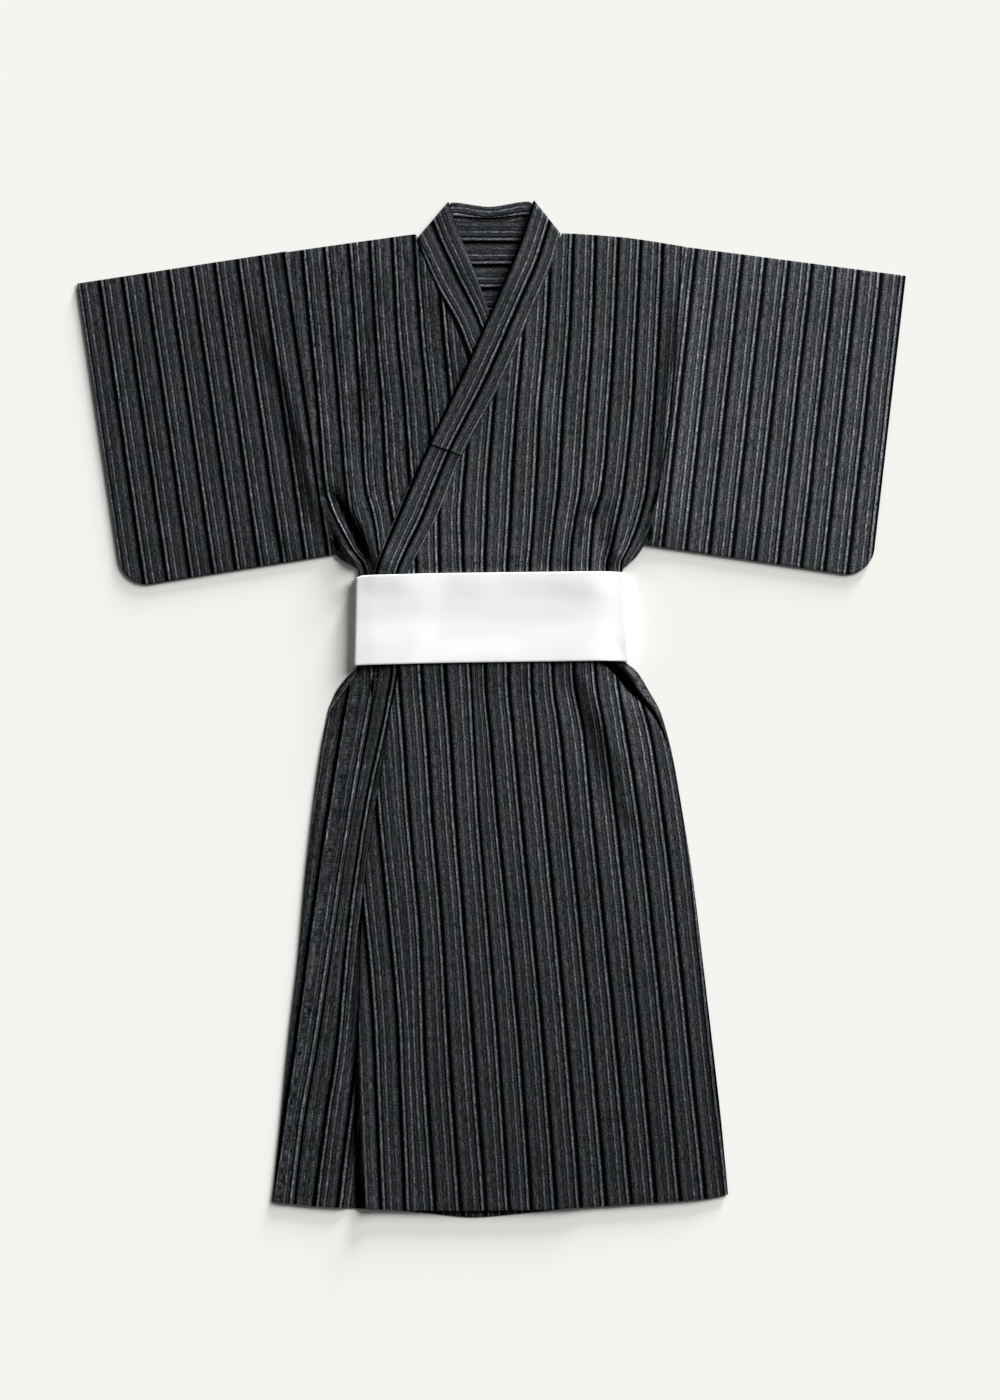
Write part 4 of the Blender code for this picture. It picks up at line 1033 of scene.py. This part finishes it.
def sleeve(side, finish):
    """A folded tube: closed by its fold at the top and its seam below, open at both ends."""
    sign = 1 if side == "left" else -1
    ends = SLEEVES[side]
    (cuff_top, cuff_low), (seam_top, seam_low) = ends["cuff_y"], ends["seam_y"]
    width = abs(ends["cuff_x"][1] - ends["seam_x"][1])
    fold = SHOULDER_FOLD
    corner_turns = np.radians(np.linspace(0, 90, 12))
    corner = 1 - CUFF_CORNER * (1 - np.sin(corner_turns)) / width
    flat = np.concatenate(((0, 0.004, 0.008, 0.012, 0.016, 0.02, 0.025, 0.03, 0.036, 0.043, 0.05),
                           np.linspace(0.058, corner[0] - 0.015, 80)))
    across = np.concatenate((flat, corner))[:, None]
    raised = np.concatenate((0 * flat, CUFF_CORNER * (1 - np.cos(corner_turns))))[:, None]
    top = seam_top + across * (cuff_top - seam_top)
    low = seam_low + across * (cuff_low - seam_low) + raised

    def seam_x(y):
        return sleeve_seam(side, y) + sign * SEAM / 2

    def cuff_x(y):
        fall = (cuff_top - y) / (cuff_top - cuff_low)
        return ends["cuff_x"][0] + fall * (ends["cuff_x"][1] - ends["cuff_x"][0])

    def place(height, top, low):
        y = low + (top - low) * height
        return seam_x(y) + across * (cuff_x(y) - seam_x(y)), y

    def slit(x, y):
        open_end = SLIT_OPEN * ramp(seam_low + 2, seam_low + 8, y) * (1 - ramp(268, 292, y))
        beside = 1 - rise(np.abs(x - seam_x(y)), SLIT_REACH)
        return sign * (side == "left") * open_end * beside

    heights = np.concatenate(((0, 0.004, 0.01, 0.02), np.linspace(0.035, 0.97, 74),
                              (0.982, 0.99, 0.996, 1)))
    back_heights = np.linspace(1, 0, 24)
    x, y = place(heights, top - fold, low + fold)
    inside = rise(top - fold - y, 60) * rise(y - low - fold, 60)
    to_seam, to_cuff = np.abs(x - seam_x(y)), np.abs(cuff_x(y) - x)
    inside = inside * rise(to_seam, 42) * rise(to_cuff, CUFF_REACH)
    air = np.maximum(AIR, AIR + inside * (SLEEVE_AIR + folds(FOLDS, x, y)))
    calm = rise(top - fold - y, 22) * rise(y - low - fold, 14)
    calm = calm * rise(to_seam, 12) * rise(to_cuff, 12)
    fine = creases(SLEEVE_CREASES, x, y) + SLACK * slack(x, y, 21 if side == "left" else 34)
    upper = np.maximum(2 * CLOTH + air + calm * fine, LEAST_WALL)
    cuff_hem = CUFF_HEM * (1 - ramp(10, 12.5, to_cuff)) - CUFF_EDGE * np.exp(-(to_cuff / 2) ** 2)
    groove = ARM_SEAM * np.exp(-(to_seam / SEAM_WIDTH) ** 2)
    upper = upper + (cuff_hem - groove) * ramp(0, 8, y - low)
    upper = upper + seam_crest(side, y, to_seam, 62 if side == "left" else 50)
    upper[:, 0] = upper[:, -1] = 2 * fold
    x_back, y_back = place(back_heights, top - fold, low + fold)
    # A slit stays open beside the seam's lower end.
    x = x + slit(x, y)

    def turned(x, y, way, radius):
        bent = way * FOLD_TURNS
        return stack(x[:, None], y[:, None] + way * radius * np.cos(bent),
                     fold + radius * np.sin(bent))

    # Below the hand's opening the layers are joined along the cuff.
    mouth = np.where(across > 1 - CUFF_JOIN / width, top - CUFF_OPENING, low + fold)
    x_in, y_in = place(heights, top - fold, mouth)
    x_in = x_in + slit(x_in, y_in)
    x_in_back, y_in_back = place(back_heights, top - fold, mouth)

    def tube(x, y, x_back, y_back, inset):
        """One face: the front, round the fold at the top, the back, and round the seam below."""
        return np.concatenate((
            stack(x, y, upper - inset), turned(x[:, -1], y[:, -1], 1, fold - inset),
            stack(x_back, y_back, inset), turned(x[:, 0], y[:, 0], -1, fold - inset)), axis=1)

    outer = tube(x, y, x_back, y_back, 0)
    inner = tube(x_in, y_in, x_in_back, y_in_back, SHELL)
    x_all, y_all = outer[..., 0], outer[..., 1]
    if side == "left":
        count, run = (x_all - 234.5 - 0.113 * y_all) / 36.35, y_all + 0.113 * x_all
    else:
        count, run = -(x_all + 0.148 * y_all + 506.9) / 36.43, y_all - 0.148 * x_all
    behind = np.arange(outer.shape[1]) > len(heights) + 2
    # Painted shade and painted light on the sleeve's front, from the table; none behind.
    tone = np.where(behind, 1.0, painted_tone(x_all, y_all))
    # The threads run on over the fold at the top, so the back's are counted from it.
    run = np.where(behind, 2 * FOLD_RUN - run, run)
    return shell(f"sleeve_{side}_cloth", outer, inner, count, run / REPEAT, finish, ring=True,
                 tone=tone)


# Painted light and shade: the left sleeve is a much brighter copy of the cloth, as painted light,
# and the right one a darker copy, as painted shade.
sleeve_left = sleeve("left", striped_cotton("striped_cotton_left_sleeve_painted_light", 1.66, 3.0,
                                            black=0.0034))
sleeve_right = sleeve("right", striped_cotton("striped_cotton_right_sleeve_painted_shade", 0.88, 4.0))
for piece, side, area in ((sleeve_left, "left", 0.324), (sleeve_right, "right", 0.312)):
    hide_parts(f"sleeve_{side}")


# ==== Collar ===============================================================================
# A strip of cotton folded along its length runs down both front edges, with a second strip sewn
# over it round the neck.  Their stripes run along the collar.

COLLAR_CLOTH, OVERLAY_CLOTH = 1.5, 1.2
LEFT_BAND = table(
    "in_x   in_y   out_x  out_y",
    (66,    788,   107,   737),
    (41,    714,   95,    693),
    (9,     638,   63,    617),
    (-43,   522,   12,    499),
    (-96,   411,   -45,   392),
    (-142,  312,   -88,   291),
    (-182,  209,   -128,  209),
    (-196,  138,   -142,  138))
NECK_ROLL, COLLAR_ROOM = 9.0, 0.45
COLLAR_REPEAT = 34.1              # the stripe's repeat across the collar
ROW_RUN = 120                     # from one row of a band's table to the next, along it
COLLAR_COTTON = striped_cotton("striped_cotton_collar", 1.12, 5.0)


def left_collar_floor(x, y):
    """Underside of the left collar: on both fronts, and on the left one alone at the neck."""
    on_right = 1 - ramp(640, 720, y)
    under = (CLOTH + SEAM + WRAP_AIR) * on_right + crossing_rise(x, y)
    room = COLLAR_ROOM * (1 - 0.7 * ramp(260, 300, y) * on_right)
    return lift(y) + CLOTH + body_air(x, y) + under + CLOTH + SEAM + room


def right_collar_floor(x, y):
    """Underside of the right collar."""
    return right_front_floor(x, y) + CLOTH + SEAM + COLLAR_ROOM


def band(name, edges, floor, first, last, height, thickness, middle, repeat, tall):
    """A stretch of collar, rolled over the shoulder's top.

    height is how far its underside lies above the collar's floor, and middle is where its stripe
    begins in each row, from the inner edge.  Each repeat of the stripe there is repeat wide, and
    tall is how far its inner edge stands up round the neck."""
    lanes = {**edges, "row": np.arange(len(edges["in_x"]))}
    across = np.concatenate(((0, 0.012, 0.03, 0.06), np.linspace(0.1, 0.9, 14),
                             (0.94, 0.97, 0.988, 1)))

    def place(row):
        row = np.asarray(row)[:, None]
        x_in, y_in, x_out, y_out = (curve(lanes, "row", key, row) for key in edges)
        return x_in + (x_out - x_in) * across, y_in + (y_out - y_in) * across

    first_run = math.hypot(edges["in_x"][1] - edges["in_x"][0],
                           edges["in_y"][1] - edges["in_y"][0])
    roll = (NECK_ROLL - first) / first_run
    start, skin = first / first_run, thickness / first_run
    turns = np.radians([0, 15, 30, 45, 60, 75, 90])
    flat_rows = np.linspace(start + roll, last, int((last - start - roll) * 22))[1:]
    outer_rows = np.append(start + roll * (1 - np.cos(turns)), flat_rows)
    inner_rows = np.append(start + skin + (roll - skin) * (1 - np.cos(turns)), flat_rows)
    round_off = np.append(np.sin(turns), np.ones_like(flat_rows))[:, None]
    x, y = place(outer_rows)
    x_in, y_in = place(inner_rows)
    size = np.hypot(edges["in_x"][2] - edges["out_x"][2], edges["in_y"][2] - edges["out_y"][2])
    inner_edge, outer_edge = across * size, (1 - across) * size

    def stand(y):
        """How far the inner edge stands up round the neck."""
        return tall * ramp(600, 690, y) * (1 - ramp(0, 0.75, across))

    def form(x, y):
        """The collar's soft roundness."""
        free = ramp(206, 224, y) * rise(np.minimum(inner_edge, outer_edge), 10)
        return stand(y) + free * (0.35 + 0.28 * slack(x, y, 45, 60.0, 90.0))

    ease = -0.8 * (1 - rise(inner_edge, 2.6)) - 0.35 * (1 - rise(outer_edge, 1.6))
    # The overlay's lower end stands up a little where its edge is turned in.
    ease = ease + (0.9 * ramp(last - 0.12, last, outer_rows[:, None]) if height else 0)
    top = floor(x, y) + height + thickness + form(x, y) + ease
    low = floor(x_in, y_in) + height + (form(x_in, y_in) if height else 0.85 * stand(y_in))
    lane = inner_edge - np.interp(outer_rows[:, None], np.arange(len(middle)), middle)
    count = np.where(lane > 0, lane / repeat, lane / COLLAR_REPEAT)
    run = outer_rows[:, None] * ROW_RUN / REPEAT + 0 * across
    return shell(name, stack(x, y, top * round_off), stack(x_in, y_in, low * round_off), count, run,
                 COLLAR_COTTON)


for side, edges, floor, ends, middle, repeat, tall, lengths in (
        ("left", LEFT_BAND, left_collar_floor, (6.7, 4.0), (32.6,) * 5 + (35.8,),
         COLLAR_REPEAT, 9.0, (0.70, 0.43)),
        ("right", RIGHT_BAND, right_collar_floor, (7.0, 3.85), (30, 29, 25, 20.5), 34.9, 4.5,
         (0.56, 0.24))):
    collar = band(f"collar_{side}_strip", edges, floor, OVERLAY_CLOTH + SEAM, ends[0],
                  0, COLLAR_CLOTH, middle, repeat, tall)
    overlay = band(f"collar_overlay_{side}_strip", edges, floor, 0, ends[1],
                   COLLAR_CLOTH + SEAM, OVERLAY_CLOTH, middle, repeat, tall)
    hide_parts(f"collar_{side}")
    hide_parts(f"collar_overlay_{side}")


# ==== Back of the neck =====================================================================
# Behind the neck the collar strips are folded over, with the edge turned down inside.  Below it
# the back is lined with cotton cut across the grain, so its stripes run from side to side.

BACK_NECK = table(
    "x      top    turned",
    (-72,   764,   758),
    (-66,   781,   763),
    (-61,   784.5, 764),
    (-4,    778,   761),
    (57,    786,   766),
    (63,    783,   766),
    (70,    765,   760))
LINING = table(
    "y      right   left",
    (755,   -64,    64),
    (735,   -91,    90),
    (700,   -77,    78),
    (650,   -56,    56),
    (600,   -33,    35),
    (572,   -20,    23))
LINING_CLOTH, LINING_REPEAT, LINING_START = 1.0, 36, 725.9
STRIP_LOW, STRIP_REPEAT, STRIP_START = 738.5, 34, 0.41
PUFF, CENTRE_SEAM = 0.25, 0.5

x = np.arange(-72, 71, 2.9)[:, None]
strip_top, strip_turned = (curve(BACK_NECK, "x", key, x) for key in ("top", "turned"))
strip_high = 2 * OVERLAY_CLOTH + LINING_CLOTH + 2 * SEAM + (CLOTH - OVERLAY_CLOTH)
strip_radius = strip_high / 2
strip_turns = FOLD_TURNS[::-1]
share = np.linspace(0, 1, 9)
low_y = STRIP_LOW + (strip_top - strip_radius - STRIP_LOW) * np.linspace(0, 1, 8)
high_y = strip_top - strip_radius + (strip_turned - strip_top + strip_radius) * share
puff = (PUFF * np.sin(math.pi * share) * (1 - ramp(40, 56, np.abs(x)))
        - CENTRE_SEAM * np.exp(-(x / 2.4) ** 2))


def folded_strip(inset):
    """One face of the strip, up from the surface, round its fold and down inside the neck."""
    radius = strip_radius - inset
    return np.concatenate((
        stack(x, low_y, inset),
        stack(x, strip_top - strip_radius + radius * np.cos(strip_turns),
              strip_radius + radius * np.sin(strip_turns)),
        stack(x, high_y, strip_high - inset + puff)), axis=1)


fall = np.concatenate((-(strip_top - low_y), 0 * strip_turns + 0 * x, strip_top - high_y), axis=1)
collar_back = shell("collar_back_strip", folded_strip(0), folded_strip(SHELL),
                    fall / STRIP_REPEAT + STRIP_START, x / REPEAT + 0 * fall,
                    striped_cotton("striped_cotton_back_collar", 1.25, 5.5))
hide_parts("collar_back")

lining_cotton = striped_cotton("striped_cotton_lining", 1.02, 6.0)
y = np.linspace(755, 572, 60)[:, None]
lining_right, lining_left = curve(LINING, "y", "right", y), curve(LINING, "y", "left", y)
x = lining_right + (lining_left - lining_right) * np.linspace(0, 1, 40)
top = CLOTH + SEAM + LINING_CLOTH + 0.2 * slack(y, x, 3, 60.0, 90.0)
neck_lining = shell("neck_lining_cloth", stack(x, y, top), stack(x, y, CLOTH + SEAM + 0.2),
                    (LINING_START - y) / LINING_REPEAT + 0 * x, x / REPEAT, lining_cotton)
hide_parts("neck_lining")


# ==== Obi ==================================================================================
# A sash of plain white cotton in several layers, wound flat round the waist over the gathers.

OBI = table(
    "y      right   left",
    (212.5, -210,   206.5),
    (190,   -210.5, 207.5),
    (165,   -211,   208.5),
    (138,   -211.5, 210),
    (111,   -212,   211.5),
    (88,    -212.5, 212.5),
    (66,    -213,   213.5))
OBI_TOP, OBI_BOTTOM = 212.5, 66
OBI_CORNER, OBI_ROOM = 4.0, 0.7
BRIDGE = 7                        # how many points the stiff sash bridges at once
MIDDLE_ROW = 18


def gathers_top(x, y):
    """Top of everything that the obi wraps."""
    start = curve(LEFT_BAND, "in_y", "in_x", y)
    cover = ramp(start - 30, start - 4, x) * (1 - ramp(start + 58, start + 84, x))
    return left_front_floor(x, y) + CLOTH + creased(x, y) + (COLLAR_CLOTH + SEAM) * cover


y = np.concatenate(((OBI_TOP, 212.1, 211), np.linspace(209, 70, 34), (68, 66.7, OBI_BOTTOM)))
y = y[:, None]
right = curve(OBI, "y", "right", y) + OBI_CORNER
left = curve(OBI, "y", "left", y) - OBI_CORNER
x = right + (left - right) * np.linspace(0, 1, 90)
obi_top, obi_bottom = curve(OBI_EDGES, "x", "top", x), curve(OBI_EDGES, "x", "bottom", x)
y_front = obi_bottom + (obi_top - obi_bottom) * (y - OBI_BOTTOM) / (OBI_TOP - OBI_BOTTOM)
near = np.max([gathers_top(np.clip(x + dx, -203, 200), np.clip(y_front + dy, 62, 217))
               for dx in (-12, 0, 12) for dy in (-10, 0, 10)], axis=0)
# The stiff sash bridges the small gathers: the highest of what lies near, then evened out.
for step in (lambda views: views.max(axis=(2, 3)), lambda views: views.mean(axis=(2, 3))):
    padded = np.pad(near, BRIDGE // 2, mode="edge")
    near = step(np.lib.stride_tricks.sliding_window_view(padded, (BRIDGE, BRIDGE)))
room = near + SEAM + OBI_ROOM
to_edge = np.minimum(OBI_TOP - y, y - OBI_BOTTOM)
room = room + 0.2 * slack(y, x, 12, 60.0, 260.0) - 0.5 * (1 - rise(to_edge, 1.5))
x_back = right + (left - right) * np.linspace(1, 0, 20)
y_under = y_front[:, -1:] + (y_front[:, :1] - y_front[:, -1:]) * np.linspace(0, 1, 20)
rings = []
turns = np.radians([75, 50, 25])
for inset in (0.0, OBI_CLOTH):
    radius = OBI_CORNER - inset
    top = room + OBI_CLOTH - inset
    ends = []
    for edge, end, way, y_end in ((left, top[:, -1:], 1, y_front[:, -1:]),
                                  (right, top[:, :1], -1, y_front[:, :1])):
        high = stack(edge + way * radius * np.cos(turns), y_end,
                     end - radius + radius * np.sin(turns))
        low = stack(edge + way * radius * np.cos(turns[::-1]), y_end,
                    inset + radius - radius * np.sin(turns[::-1]))
        ends.append(np.concatenate((high, low), axis=1)[:, ::way])
    rings.append(np.concatenate((stack(x, y_front, top), ends[0],
                                 stack(x_back, y_under, inset + 0 * x_back), ends[1]), axis=1))
steps = np.diff(rings[0][MIDDLE_ROW][:, [0, 2]], axis=0)
girth = np.concatenate(([0], np.cumsum(np.hypot(*steps.T))))

white = bpy.data.materials.new("plain_white_cotton")
white.use_nodes = True
start = Value(white.node_tree)
weave = start.node("ShaderNodeUVMap", {"uv_map": "cloth"})
threads = start.node("ShaderNodeTexNoise", sockets={"Vector": weave, "Scale": 55.0, "Detail": 3.0})
soft = start.node("ShaderNodeTexNoise", sockets={"Vector": weave, "Scale": 0.7, "Detail": 2.0})
shaded, full_white = (0.81, 0.815, 0.82, 1), (0.87, 0.87, 0.87, 1)
tone = start.node("ShaderNodeMix", {"data_type": "RGBA"}, {
    0: threads * 0.5 + soft * 0.5, 6: shaded, 7: full_white}, out=2)
white_shader = white.node_tree.nodes["Principled BSDF"]
white.node_tree.links.new(tone.socket, white_shader.inputs["Base Color"])
nap = start.node("ShaderNodeBump", sockets={
    "Strength": 0.15, "Distance": 0.0004, "Height": threads})
white.node_tree.links.new(nap.socket, white_shader.inputs["Normal"])
white_shader.inputs["Roughness"].default_value = 0.8
white_shader.inputs["Specular IOR Level"].default_value = 0.25
obi = shell("obi_sash", rings[0], rings[1], girth / REPEAT, y / REPEAT, white, ring=True)
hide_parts("obi")


# ==== Surface and light ====================================================================
# A plain pale floor, and soft light from the upper right that leaves faint shadows.

FLOOR_SIZE, FLOOR_DROP = 9, 0.0008    # metres
bpy.ops.mesh.primitive_plane_add(size=FLOOR_SIZE, location=(0, 0, -FLOOR_DROP))
floor_plane = bpy.context.object
floor_plane.name = "floor"
pale = bpy.data.materials.new("pale_floor")
pale.use_nodes = True
pale_shader = pale.node_tree.nodes["Principled BSDF"]
pale_shader.inputs["Base Color"].default_value = (0.875, 0.866, 0.835, 1)
pale_shader.inputs["Roughness"].default_value = 1.0
pale_shader.inputs["Specular IOR Level"].default_value = 0.0
floor_plane.data.materials.append(pale)

room_light = bpy.data.worlds.new("soft_room")
room_light.use_nodes = True
room_light.node_tree.nodes["Background"].inputs["Color"].default_value = (1, 1, 1, 1)
room_light.node_tree.nodes["Background"].inputs["Strength"].default_value = 0.12
bpy.context.scene.world = room_light

# The key lamp lights everything; the low one brushes over the folds.
for name, strength, softness, turn in (("key", 4.05, 34, (0, 60, 44)),
                                       ("skim", 7.0, 12, (-82.8, 0, -24))):
    light = bpy.data.lights.new(name, "SUN")
    light.energy = strength
    light.angle = math.radians(softness)
    lamp = bpy.data.objects.new(name, light)
    lamp.rotation_euler = [math.radians(degrees) for degrees in turn]
    bpy.context.collection.objects.link(lamp)
bpy.context.scene.view_settings.view_transform = "Standard"
